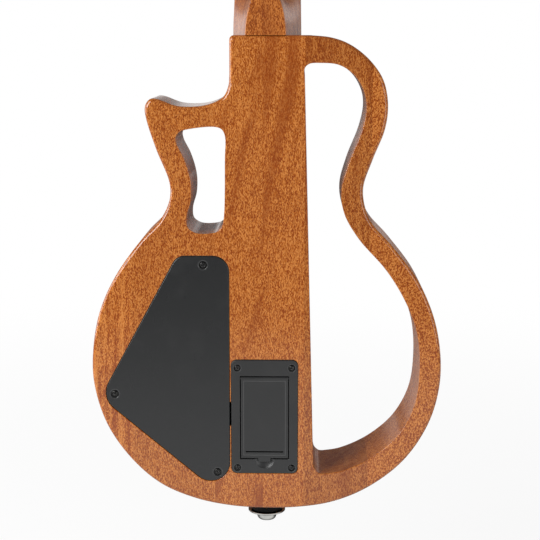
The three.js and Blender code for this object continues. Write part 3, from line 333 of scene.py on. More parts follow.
def soften(piece: Object, width: float, segments: int = 3, angle: float = 40) -> Object:
    """Rounds every edge that turns more than an angle.

    Args:
        piece: the piece to finish.
        width: width of the rounding.
        segments: how many flats make the rounding.
        angle: least turn of an edge that is rounded, in degrees.

    Returns:
        The same piece.
    """
    modifier = piece.modifiers.new("rounding", "BEVEL")
    modifier.width = width * MM
    modifier.segments = segments
    modifier.limit_method = "ANGLE"
    modifier.angle_limit = math.radians(angle)
    modifier.miter_outer = "MITER_ARC"
    apply(piece, modifier)
    return piece


def combine(piece: Object, operation: str, others: Iterable[Object]) -> Object:
    """Cuts other solids from a piece, adds them or keeps what they share, and uses them up.

    Args:
        piece: the piece that stays.
        operation: DIFFERENCE, UNION or INTERSECT.
        others: solids that are taken away afterwards.

    Returns:
        The same piece.
    """
    for other in others:
        modifier = piece.modifiers.new("joint", "BOOLEAN")
        modifier.operation = operation
        modifier.solver = "EXACT"
        modifier.object = other
        apply(piece, modifier)
        bpy.data.objects.remove(other)
    return piece


def carve(piece: Object, *tools: Object) -> Object:
    """Cuts solids out of a piece."""
    return combine(piece, "DIFFERENCE", tools)


def fuse(piece: Object, *others: Object) -> Object:
    """Adds solids to a piece."""
    return combine(piece, "UNION", others)


def block(name: str, x: Point2, y: Point2, z: Point2, rounding: float = 0) -> Object:
    """Adds a square block, with its edges rounded if asked.

    Args:
        name: name of the piece.
        x: its two sides across.
        y: its back and front.
        z: its bottom and top.
        rounding: width of the rounding of its edges.

    Returns:
        The block.
    """
    deselect_all()
    middle = [(low + high) / 2 * MM for low, high in (x, y, z)]
    size = [(high - low) * MM for low, high in (x, y, z)]
    bpy.ops.mesh.primitive_cube_add(size=1, location=middle, scale=size)
    piece = bpy.context.object
    piece.name = name
    bpy.ops.object.transform_apply(location=True, rotation=True, scale=True)
    return soften(piece, rounding) if rounding else piece


def copied(piece: Object, name: str, place: Matrix = Matrix.Identity(4)) -> Object:
    """Copies a piece with a mesh of its own and moves the mesh.

    Args:
        piece: the model.
        name: name of the copy.
        place: where the copy goes, with its translation in millimetres.

    Returns:
        The copy.
    """
    copy = piece.copy()
    copy.data = piece.data.copy()
    copy.name = name
    bpy.context.scene.collection.objects.link(copy)
    return set_down(copy, place)


def set_down(piece: Object, place: Matrix) -> Object:
    """Moves a piece's mesh by a matrix.

    Args:
        piece: the piece.
        place: where it goes, with its translation in millimetres.

    Returns:
        The same piece.
    """
    metres = place.copy()
    metres.translation = place.translation * MM
    piece.data.transform(metres)
    piece.data.update()
    return piece


def span(middle: float, half: float) -> Point2:
    """Gives both ends of a stretch from its middle and half its length."""
    return middle - half, middle + half


def at(x: float, y: float, z: float) -> Matrix:
    """Gives the matrix of a plain move in millimetres."""
    return Matrix.Translation((x, y, z))


ALONG_Y = Matrix.Rotation(math.radians(-90), 4, "X")
ALONG_X = Matrix.Rotation(math.radians(90), 4, "Y")


def turn(name: str, profile: Sequence[Point2], sides: int, place: Matrix = Matrix.Identity(4),
         bored: bool = False) -> Object:
    """Turns a profile about the Z axis, ring by ring, and sets the piece down.

    Args:
        name: name of the piece.
        profile: radius and height of each ring.
        sides: how many flats go round.
        place: where the piece goes, with its translation in millimetres.
        bored: whether the profile closes on itself round a bore.

    Returns:
        The turned piece.
    """
    deselect_all()
    radius, height = profile[0]
    fill = "NOTHING" if bored else "NGON"
    bpy.ops.mesh.primitive_circle_add(vertices=sides, radius=radius * MM, fill_type=fill)
    piece = bpy.context.object
    piece.name = name
    bpy.ops.object.mode_set(mode="EDIT")
    bpy.ops.mesh.select_mode(type="VERT")
    bpy.ops.mesh.select_all(action="SELECT")
    bpy.ops.transform.translate(value=(0, 0, height * MM))
    rest = [*profile[1:], profile[0]] if bored else profile[1:]
    for next_radius, next_height in rest:
        rise = (0, 0, (next_height - height) * MM)
        bpy.ops.mesh.extrude_region_move(TRANSFORM_OT_translate={"value": rise})
        grow = next_radius / radius
        bpy.ops.transform.resize(value=(grow, grow, 1), center_override=(0, 0, 0))
        radius, height = next_radius, next_height
    bpy.ops.mesh.select_all(action="SELECT")
    bpy.ops.mesh.remove_doubles(threshold=1e-7)
    bpy.ops.mesh.normals_make_consistent(inside=False)
    done()
    return set_down(piece, place)


def drill(name: str, radius: float, start: Point3, end: Point3, sides: int = 24) -> Object:
    """Adds a plain rod between two points, to cut a hole with or to fuse on.

    Args:
        name: name of the piece.
        radius: its radius.
        start: middle of one end.
        end: middle of the other end.
        sides: how many flats go round.

    Returns:
        The rod.
    """
    deselect_all()
    along = Vector(end) - Vector(start)
    bpy.ops.mesh.primitive_cylinder_add(vertices=sides, radius=radius * MM, depth=along.length * MM)
    piece = bpy.context.object
    piece.name = name
    middle = (Vector(start) + Vector(end)) / 2
    turned = along.to_track_quat("Z", "Y").to_matrix().to_4x4()
    return set_down(piece, Matrix.Translation(middle) @ turned)


def stack(name: str, rings: Sequence[Sequence[Point3]]) -> Object:
    """Joins rings of points into one closed solid. A free outline has no primitive to start from.

    Args:
        name: name of the piece.
        rings: equally many points in each, in order along the solid.

    Returns:
        The solid.
    """
    count = len(rings[0])
    points = [Vector(point) * MM for ring in rings for point in ring]
    faces: list[list[int]] = [list(range(count)), list(range(len(points) - count, len(points)))]
    for level in range(len(rings) - 1):
        for i in range(count):
            ahead = (i + 1) % count
            low, high = level * count, (level + 1) * count
            faces.append([low + i, low + ahead, high + ahead, high + i])
    mesh = bpy.data.meshes.new(name)
    mesh.from_pydata(points, [], faces)
    piece = shown(name, mesh)
    edit(piece)
    bpy.ops.mesh.select_all(action="SELECT")
    bpy.ops.mesh.normals_make_consistent(inside=False)
    done()
    return piece


def plate(name: str, outline: Sequence[Point2], levels: Sequence[Point2]) -> Object:
    """Makes a plate in the plane of the body from one outline.

    Args:
        name: name of the piece.
        outline: points across and up.
        levels: depth of each ring, and how far its outline stands out.

    Returns:
        The plate.
    """
    base = anticlockwise(outline)
    rings = [[(x, y, z) for x, z in offset(base, out)] if out else [(x, y, z) for x, z in base]
             for y, out in levels]
    return stack(name, rings)


def eased(back: float, front: float, radius: float, steps: int = 5) -> list[Point2]:
    """Gives the levels of a plate with rounded rims, or of a hole with eased mouths.

    Args:
        back: depth of its lower face.
        front: depth of its upper face.
        radius: rounding, or a negative one for a hole's mouth.
        steps: how many flats make the rounding.

    Returns:
        Levels for plate().
    """
    size = abs(radius)
    sign = -1 if radius > 0 else 1
    quarter = [math.pi / 2 * step / steps for step in range(steps + 1)]
    rim = [(size * (1 - math.cos(a)), sign * size * (1 - math.sin(a))) for a in quarter]
    low = [(back + depth, out) for depth, out in rim]
    high = [(front - depth, out) for depth, out in reversed(rim)]
    return [*low, *high]


def flared(back: float, floor: float, ease: float, steps: int = 3) -> list[Point2]:
    """Gives the levels of a pocket that is cut from the back to a floor, with an eased mouth."""
    mouth = eased(back, back + 2 * ease, -ease, steps)[:steps + 1]
    return [(back - 1, ease), *mouth, (floor, 0.0)]


def tube(name: str, points: Sequence[Sequence[float]], radius: float) -> Object:
    """Makes a round wire along a route.

    Args:
        name: name of the piece.
        points: the route.
        radius: radius of the wire.

    Returns:
        The wire as a mesh.
    """
    curve = bpy.data.curves.new(name, "CURVE")
    curve.dimensions = "3D"
    curve.bevel_depth = radius * MM
    curve.bevel_resolution = 3
    curve.use_fill_caps = True
    run = curve.splines.new("POLY")
    run.points.add(len(points) - 1)
    for knot, point in zip(run.points, points):
        knot.co = (*(Vector(point) * MM), 1)
    choose(shown(name, curve))
    bpy.ops.object.convert(target="MESH")
    return bpy.context.object


def box_of(node: str) -> tuple[Vector, Vector]:
    """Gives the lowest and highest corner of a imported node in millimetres."""
    low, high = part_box(node)
    return low / MM, high / MM


def middle_of(node: str) -> Point2:
    """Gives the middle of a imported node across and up."""
    low, high = box_of(node)
    return (low.x + high.x) / 2, (low.z + high.z) / 2


# Materials


class Sketch:
    """Places and joins the nodes of one material or node group."""

    def __init__(self, tree: bpy.types.NodeTree) -> None:
        """Keeps the tree that the nodes go into."""
        self.tree = tree

    def node(self, kind: str, inputs: dict | None = None, **settings: object) -> bpy.types.Node:
        """Adds a node.

        Args:
            kind: Blender's name of the node type.
            inputs: values or sockets for its inputs, by name or number.
            settings: its other properties.

        Returns:
            The node.
        """
        node = self.tree.nodes.new(kind)
        for name, value in settings.items():
            setattr(node, name, value)
        for key, value in (inputs or {}).items():
            if isinstance(value, bpy.types.NodeSocket):
                self.tree.links.new(value, node.inputs[key])
            else:
                node.inputs[key].default_value = value
        return node

    def math(self, operation: str, one: object, two: object = 0.0) -> Socket:
        """Adds a Math node and gives its output."""
        inputs = {0: one, 1: two}
        return self.node("ShaderNodeMath", inputs, operation=operation).outputs[0]

    def vector(self, operation: str, one: object, two: object = (0, 0, 0)) -> Socket:
        """Adds a Vector Math node.

        Args:
            operation: Blender's name of the operation.
            one: first vector or socket.
            two: second vector or socket.

        Returns:
            Its output, which is a value for a length or a dot product.
        """
        inputs = {0: one, 1: two}
        outputs = self.node("ShaderNodeVectorMath", inputs, operation=operation).outputs
        return outputs["Value"] if operation in ("LENGTH", "DOT_PRODUCT") else outputs[0]

    def times(self, one: object, two: object) -> Socket:
        """Multiplies two values."""
        return self.math("MULTIPLY", one, two)

    def plus(self, one: object, two: object) -> Socket:
        """Adds two values."""
        return self.math("ADD", one, two)

    def larger(self, one: object, two: object) -> Socket:
        """Gives the larger of two values."""
        return self.math("MAXIMUM", one, two)

    def swing(self, value: Socket, gain: object) -> Socket:
        """Scales how far a value lies from one half."""
        return self.times(self.math("SUBTRACT", value, 0.5), gain)

    def parts(self, vector: Socket) -> Sequence[Socket]:
        """Gives the three parts of a vector."""
        return self.node("ShaderNodeSeparateXYZ", {0: vector}).outputs

    def joined(self, x: object, y: object, z: object) -> Socket:
        """Joins three values into a vector."""
        return self.node("ShaderNodeCombineXYZ", {0: x, 1: y, 2: z}).outputs[0]

    def group(self, tree: Tree, inputs: dict) -> Sequence[Socket]:
        """Adds a node group and gives its outputs."""
        return self.node("ShaderNodeGroup", inputs, node_tree=tree).outputs

    def noise(self, place: Socket, scale: Point3, detail: float = 2.0, roughness: float = 0.5,
              colour: bool = False) -> Socket:
        """Adds a noise from 0 to 1, whose scale gives the grains per metre along each axis."""
        inputs = {
            "Vector": self.vector("MULTIPLY", place, scale),
            "Scale": 1.0,
            "Detail": detail,
            "Roughness": roughness,
        }
        return self.node("ShaderNodeTexNoise", inputs).outputs[1 if colour else 0]

    def flecks(self, place: Socket, scale: Point3) -> Socket:
        """Adds small cells, each with a chance value.

        Args:
            place: position in metres.
            scale: cells per metre along each axis.

        Returns:
            The value from 0 to 1.
        """
        inputs = {"Vector": self.vector("MULTIPLY", place, scale), "Scale": 1.0}
        colour = self.node("ShaderNodeTexVoronoi", inputs).outputs["Color"]
        return self.node("ShaderNodeSeparateColor", {0: colour}).outputs[0]

    def wobble(self, place: Socket, scale: Point3, reach: float) -> Socket:
        """Gives a smooth shift across the grain, whose two ends lie a reach in metres apart."""
        shift = self.vector("SUBTRACT", self.noise(place, scale, colour=True), (0.5, 0.5, 0.5))
        return self.vector("MULTIPLY", shift, (reach, reach, 0.0))

    def band(self, value: Socket, start: float, end: float, low: float = 0.0,
             high: float = 1.0) -> Socket:
        """Maps a value smoothly, so that the start gives the low result and the end the high one."""
        inputs = {"Value": value, "From Min": start, "From Max": end, "To Min": low, "To Max": high}
        return self.node("ShaderNodeMapRange", inputs, interpolation_type="SMOOTHSTEP").outputs[0]

    def blend(self, share: object, one: object, two: object, mode: str = "MIX") -> Socket:
        """Mixes two colours, of which the share says how much of the second one is taken."""
        inputs = {0: share, 6: rgba(one), 7: rgba(two)}
        return self.node("ShaderNodeMix", inputs, data_type="RGBA", blend_type=mode).outputs[2]

    def ramp(self, value: Socket, stops: Sequence[tuple[float, Colour]],
             mode: str = "LINEAR") -> Socket:
        """Adds a colour ramp.

        Args:
            value: place on the ramp.
            stops: position and colour of each stop.
            mode: how colours pass into each other.

        Returns:
            The colour.
        """
        node = self.node("ShaderNodeValToRGB", {0: value})
        node.color_ramp.interpolation = mode
        elements = node.color_ramp.elements
        while len(elements) < len(stops):
            elements.new(1.0)
        for element, (place, colour) in zip(elements, stops):
            element.position = place
            element.color = rgba(colour)
        return node.outputs[0]

    def bump(self, height: Socket, distance: float) -> Socket:
        """Turns a height from 0 to 1 into a normal, with the depth of a full step in millimetres."""
        inputs = {"Height": height, "Distance": distance * MM, "Strength": 1.0}
        return self.node("ShaderNodeBump", inputs).outputs[0]


def rgba(colour: object) -> object:
    """Gives a colour its fourth part, and leaves a socket as it is."""
    if isinstance(colour, bpy.types.NodeSocket):
        return colour
    return (*colour, 1.0)


class Surface(Sketch):
    """The sketch of one material, with the place on the object in metres."""

    def __init__(self, name: str, effects: "Effects | None" = None) -> None:
        """Starts an empty material.

        Args:
            name: name of the material.
            effects: the shared groups that it may use.
        """
        self.material = bpy.data.materials.new(name)
        self.material.use_nodes = True
        self.material.node_tree.nodes.clear()
        super().__init__(self.material.node_tree)
        self.effects = effects
        self.place = self.node("ShaderNodeTexCoord").outputs["Object"]

    def wear_and_highlight_edges(self, colour: Socket, width: float, share: float, edge_light_colour: Colour) -> Socket:
        """Lets a share of a lighter colour through on the edges, for edge wear and a painted edge highlight.
        """
        # Edge wear and painted highlight: lightens the colour along sharp edges.
        edge = self.group(self.effects.edges, {"Width": width * MM})[0]
        return self.blend(self.times(edge, share), colour, edge_light_colour)

    def close(self, inputs: dict) -> Material:
        """Adds the surface shader and the output.

        Args:
            inputs: values or sockets for the shader.

        Returns:
            The material.
        """
        shader = self.node("ShaderNodeBsdfPrincipled", inputs)
        self.node("ShaderNodeOutputMaterial", {"Surface": shader.outputs[0]})
        return self.material


def new_group(name: str, inputs: dict[str, float | None]) -> tuple[Sketch, Sequence[Socket]]:
    """Starts a node group.

    Args:
        name: name of the group.
        inputs: its inputs with their defaults, where None stands for a place.

    Returns:
        Its sketch and its input sockets by name.
    """
    tree = bpy.data.node_groups.new(name, "ShaderNodeTree")
    for label, default in inputs.items():
        kind = "NodeSocketVector" if default is None else "NodeSocketFloat"
        item = tree.interface.new_socket(label, in_out="INPUT", socket_type=kind)
        if default is not None:
            item.default_value = default
    sketch = Sketch(tree)
    return sketch, sketch.node("NodeGroupInput").outputs


def close_group(sketch: Sketch, results: dict[str, Socket]) -> Tree:
    """Ends a node group.

    Args:
        sketch: the group's sketch.
        results: its outputs by name.

    Returns:
        The group.
    """
    for label in results:
        sketch.tree.interface.new_socket(label, in_out="OUTPUT", socket_type="NodeSocketFloat")
    sketch.node("NodeGroupOutput", results)
    return sketch.tree


class Effects:
    """Node groups that several materials share, built once each."""

    def __init__(self) -> None:
        """Builds the groups."""
        self.figure = self.wood_figure()
        self.texture = self.fine_texture()
        self.marks = self.handling_marks()
        self.edges = self.edge_wear_and_highlight_mask()

    def wood_figure(self) -> Tree:
        """Builds wood that grows along Z, or leans from it.

        Returns:
            A group with the stripes, growth bands, grain, pores, curl, clouds and relief of wood.
        """
        sketch, given = new_group(
            "wood figure", {"Place": None, "Seed": 0.0, "Lean": 0.0, "Band Gap": 0.018})
        x, y, z = sketch.parts(given["Place"])
        leant = sketch.math("SUBTRACT", x, sketch.times(z, given["Lean"]))
        spot = sketch.joined(sketch.plus(leant, given["Seed"]), sketch.plus(y, given["Seed"]), z)
        sway = sketch.wobble(spot, (16, 16, 9), 0.016)
        ripple = sketch.wobble(spot, (110, 110, 120), 0.0009)
        bent = sketch.vector("ADD", sketch.vector("ADD", spot, sway), ripple)
        straight = sketch.vector("ADD", given["Place"], ripple)
        fibres = sketch.noise(straight, (2900, 2900, 190), 0)
        specks = sketch.flecks(straight, (3000, 3000, 1000))
        grain = sketch.plus(sketch.times(fibres, 0.5), sketch.times(specks, 0.5))
        count = sketch.math("DIVIDE", 1.45, given["Band Gap"])
        streaked = sketch.vector("MULTIPLY", bent, sketch.joined(count, count, 7.0))
        dense = sketch.band(sketch.noise(bent, (160, 160, 30)), 0.3, 0.62, 0.75, 1.0)
        pores = sketch.band(sketch.noise(straight, (1600, 1600, 300), 1), 0.55, 0.66)
        pores = sketch.times(pores, dense)
        return close_group(sketch, {
            "Stripes": sketch.noise(bent, (260, 260, 5), 3, 0.6),
            "Bands": sketch.band(sketch.noise(streaked, (1, 1, 1), 1.5), 0.5, 0.68),
            "Grain": grain,
            "Pores": pores,
            "Curl": sketch.noise(straight, (900, 900, 700), 2, 0.65),
            "Clouds": sketch.noise(spot, (48, 48, 26), 3, 0.6),
            "Relief": sketch.math("SUBTRACT", sketch.times(grain, 0.3), pores),
        })

    def edge_wear_and_highlight_mask(self) -> Tree:
        """Builds a mask that is 1 on a sharp edge and 0 away from it, for edge wear and a painted edge
        highlight.

        Returns:
            The group.
        """
        sketch, given = new_group("edge wear and highlight", {"Width": 0.0005, "Sharpness": 0.09})
        softened = sketch.node("ShaderNodeBevel", {"Radius": given["Width"]}, samples=4).outputs[0]
        true = sketch.node("ShaderNodeNewGeometry").outputs["True Normal"]
        lifted = sketch.math("SUBTRACT", 0.985, sketch.vector("DOT_PRODUCT", softened, true))
        edge = sketch.band(sketch.math("DIVIDE", lifted, given["Sharpness"]), 0.0, 1.0)
        return close_group(sketch, {"Edge": edge})

    def fine_texture(self) -> Tree:
        """Builds the fine grain of a moulded, cast or brushed surface.

        Returns:
            A group with a speckle from 0 to 1 and a height.
        """
        sketch, given = new_group("fine texture", {"Place": None, "Grain": 2500.0, "Stretch": 1.0})
        along = sketch.times(given["Grain"], given["Stretch"])
        scale = sketch.joined(given["Grain"], given["Grain"], along)
        place = sketch.vector("MULTIPLY", given["Place"], scale)
        fine = sketch.noise(place, (1, 1, 1), 2, 0.55)
        coarse = sketch.noise(place, (0.13, 0.13, 0.13))
        speckle = sketch.plus(sketch.times(fine, 0.7), sketch.times(coarse, 0.3))
        return close_group(sketch, {"Speckle": speckle, "Height": fine})

    def handling_marks(self) -> Tree:
        """Builds the faint smudges and hairlines of a handled surface.

        Returns:
            A group with smudges and hairlines from 0 to 1.
        """
        sketch, given = new_group("handling marks", {"Place": None, "Size": 60.0})
        scale = sketch.joined(given["Size"], given["Size"], given["Size"])
        place = sketch.vector("MULTIPLY", given["Place"], scale)
        smudges = sketch.band(sketch.noise(place, (1, 1, 1), 3, 0.6), 0.42, 0.68)
        hairlines = sketch.band(sketch.noise(place, (22, 22, 0.9), 1), 0.7, 0.78)
        return close_group(sketch, {"Smudges": smudges, "Hairlines": hairlines})


@dataclass(frozen=True)
class BoardFigure:
    """The look of one glued board of the body, from the place across where it starts."""

    start: float
    tone: float = 1.0
    seed: float = 0.3
    lean: float = 0.0
    stripes: float = 1.0
    bands: float = 0.3
    curl: float = 0.3


@dataclass(frozen=True)
class WoodFinish:
    """A wood with stripes, bands and pores under a satin or oiled surface."""

    name: str
    light: Colour
    middle: Colour
    dark: Colour
    pore: Colour
    roughness: float
    gloss: float = 0.35
    coat: float = 0.0
    wall_coat: float = 0.35
    band_gap: float = 0.018
    grain: float = 2.0
    clouds: float = 0.15
    pores: float = 0.12
    contrast: float = 1.5
    relief: float = 0.05
    # Width of the lightened edges, for edge wear and a painted edge highlight.
    edge_wear_and_highlight_width: float = 0.5
    boards: tuple[BoardFigure, ...] = (BoardFigure(-120),)
    reach: float = 0.24

    def material(self, effects: Effects) -> Material:
        """Builds the material.

        Args:
            effects: the shared node groups.

        Returns:
            The material.
        """
        sketch = Surface(self.name, effects)
        tone, seed, lean = self.by_board(sketch, lambda board: (board.tone, board.seed, board.lean + 0.5))
        stripes, bands, curl = self.by_board(sketch, lambda board: (board.stripes, board.bands, board.curl))
        figure = sketch.group(effects.figure, {
            "Band Gap": self.band_gap, "Place": sketch.place, "Seed": seed,
            "Lean": sketch.math("SUBTRACT", lean, 0.5)})
        shade = sketch.swing(figure["Stripes"], stripes)
        for label, gain in (("Grain", self.grain), ("Clouds", self.clouds), ("Curl", curl)):
            shade = sketch.plus(shade, sketch.swing(figure[label], gain))
        shade = sketch.plus(sketch.times(shade, self.contrast), 0.5)
        colour = sketch.ramp(shade, [(0.08, self.dark), (0.5, self.middle), (0.92, self.light)])
        colour = sketch.blend(sketch.times(figure["Bands"], bands), colour, self.dark)
        colour = sketch.blend(sketch.times(figure["Pores"], self.pores), colour, self.pore)
        # Lightens the rounded edges: edge wear and a painted highlight along them.
        colour = sketch.wear_and_highlight_edges(colour, self.edge_wear_and_highlight_width, 0.75, self.light)
        toned = sketch.node("ShaderNodeCombineColor", {0: tone, 1: tone, 2: tone}).outputs[0]
        colour = sketch.blend(1.0, colour, toned, "MULTIPLY")
        rough = sketch.band(figure["Stripes"], 0.3, 0.7, self.roughness + 0.05, self.roughness - 0.05)
        rough = sketch.plus(rough, sketch.times(figure["Pores"], 0.2))
        facing = sketch.parts(sketch.node("ShaderNodeNewGeometry").outputs["True Normal"])
        open_face = sketch.band(sketch.math("ABSOLUTE", facing[1]), 0.15, 0.5, self.wall_coat, 1.0)
        buffed = sketch.larger(open_face, sketch.band(facing[2], 0.75, 0.95))
        return sketch.close({
            "Base Color": colour,
            "Roughness": rough,
            "Normal": sketch.bump(figure["Relief"], self.relief),
            "Specular IOR Level": self.gloss,
            "Coat Weight": sketch.times(buffed, self.coat),
            "Coat Roughness": 0.1,
            "Coat IOR": 1.7,
        })

    def by_board(self, sketch: Surface, values: Callable[[BoardFigure], Colour]) -> Sequence[Socket]:
        """Makes three values jump at each glued seam.

        Args:
            sketch: the material's sketch.
            values: gives a board's three values.

        Returns:
            The three values across the body.
        """
        across = sketch.parts(sketch.place)[0]
        share = sketch.plus(sketch.math("DIVIDE", across, self.reach), 0.5)
        stops = [(max(board.start * MM / self.reach + 0.5, 0.0), values(board)) for board in self.boards]
        colour = sketch.ramp(share, stops, "CONSTANT")
        return sketch.node("ShaderNodeSeparateColor", {0: colour}).outputs


@dataclass(frozen=True)
class PlasticFinish:
    """A moulded plastic, from fine satin to gloss."""

    name: str
    colour: Colour
    worn: Colour
    roughness: float
    grain: float = 2600.0
    relief: float = 0.012
    gloss: float = 0.5
    coat: float = 0.0
    # Share of the lightened edges, for edge wear and a painted edge highlight.
    edge: float = 0.0
    edge_wear_highlight_width: float = 0.35

    def material(self, effects: Effects) -> Material:
        """Builds the material.

        Args:
            effects: the shared node groups.

        Returns:
            The material.
        """
        sketch = Surface(self.name, effects)
        texture = sketch.group(effects.texture, {"Place": sketch.place, "Grain": self.grain})
        marks = sketch.group(effects.marks, {"Place": sketch.place})
        share = sketch.times(marks["Smudges"], 0.35)
        share = sketch.plus(share, sketch.times(texture["Speckle"], 0.3))
        colour = sketch.blend(share, self.colour, self.worn)
        # Lightens sharp edges: edge wear and a painted highlight.
        if self.edge:
            colour = sketch.wear_and_highlight_edges(colour, self.edge_wear_highlight_width, self.edge, (0.2, 0.2, 0.2))
        rough = sketch.band(marks["Smudges"], 0.0, 1.0, self.roughness - 0.02, self.roughness + 0.04)
        rough = sketch.math("SUBTRACT", rough, sketch.times(marks["Hairlines"], 0.06))
        return sketch.close({
            "Base Color": colour,
            "Roughness": rough,
            "Normal": sketch.bump(texture["Height"], self.relief),
            "Specular IOR Level": self.gloss,
            "Coat Weight": self.coat,
            "Coat Roughness": 0.1,
            "IOR": 1.5,
        })


@dataclass(frozen=True)
class MetalFinish:
    """A metal, plated, blackened or drawn."""

    name: str
    colour: Colour
    tarnish: Colour
    roughness: float
    grain: float = 900.0
    stretch: float = 1.0
    relief: float = 0.004
    # Share of the lightened edges, for edge wear and a painted edge highlight.
    edge: float = 0.0
    edge_wear_highlight_width: float = 0.25
    # Share of painted shade on surfaces that turn away from the view.
    painted_rim_shade: float = 0.0

    def material(self, effects: Effects) -> Material:
        """Builds the material.

        Args:
            effects: the shared node groups.

        Returns:
            The material.
        """
        sketch = Surface(self.name, effects)
        texture = sketch.group(effects.texture, {
            "Place": sketch.place, "Grain": self.grain, "Stretch": self.stretch})
        marks = sketch.group(effects.marks, {"Place": sketch.place, "Size": 140.0})
        colour = sketch.blend(sketch.times(marks["Smudges"], 0.5), self.colour, self.tarnish)
        # Lightens sharp edges: edge wear and a painted highlight.
        if self.edge:
            colour = sketch.wear_and_highlight_edges(colour, self.edge_wear_highlight_width, self.edge, (0.4, 0.4, 0.4))
        # Painted shade: the colour darkens where the surface turns away from the view, drawing dark rims.
        if self.painted_rim_shade:
            facing = sketch.node("ShaderNodeLayerWeight", {"Blend": 0.5}).outputs["Facing"]
            dark = sketch.times(sketch.band(facing, 0.15, 0.8), self.painted_rim_shade)
            colour = sketch.blend(dark, colour, (0.04, 0.04, 0.035))
        rough = sketch.band(texture["Speckle"], 0.3, 0.7, self.roughness, self.roughness + 0.06)
        rough = sketch.plus(rough, sketch.times(marks["Smudges"], 0.05))
        return sketch.close({
            "Base Color": colour,
            "Metallic": 1.0,
            "Roughness": rough,
            "Normal": sketch.bump(texture["Height"], self.relief),
        })


@dataclass(frozen=True)
class PaleFinish:
    """Bone, pearloid or clear nylon: pale, slightly deep and smooth."""

    name: str
    colour: Colour
    vein: Colour
    roughness: float
    swirl: Point3
    depth: float = 0.0

    def material(self, effects: Effects) -> Material:
        """Builds the material.

        Args:
            effects: the shared node groups.

        Returns:
            The material.
        """
        sketch = Surface(self.name, effects)
        swirl = sketch.noise(sketch.place, self.swirl, 3, 0.6)
        colour = sketch.blend(sketch.band(swirl, 0.4, 0.66), self.colour, self.vein)
        marks = sketch.group(effects.marks, {"Place": sketch.place})
        rough = sketch.band(marks["Smudges"], 0.0, 1.0, self.roughness, self.roughness + 0.08)
        return sketch.close({
            "Base Color": colour,
            "Roughness": rough,
            "Normal": sketch.bump(swirl, 0.02),
            "Subsurface Weight": self.depth,
            "Subsurface Radius": (0.002, 0.0015, 0.001),
            "Subsurface Scale": 1.0,
            "IOR": 1.5,
        })


BODY_BOARDS = (
    BoardFigure(-120, tone=1.0, seed=0.11, stripes=2.4, bands=0.1, curl=0.1),
    BoardFigure(-86, tone=0.93, seed=0.27, stripes=0.15, bands=0.15, curl=0.1),
    BoardFigure(-33, tone=0.97, seed=0.43, lean=0.28, stripes=0.3, bands=0.8, curl=0.1),
    BoardFigure(-2, tone=0.98, seed=0.61, lean=0.12, stripes=0.7, bands=0.6, curl=0.1),
    BoardFigure(23.7, tone=0.84, seed=0.83, stripes=1.1, bands=0.35, curl=0.2),
    BoardFigure(65, tone=0.99, seed=0.94, stripes=0.3, bands=0.15, curl=3.8),
)


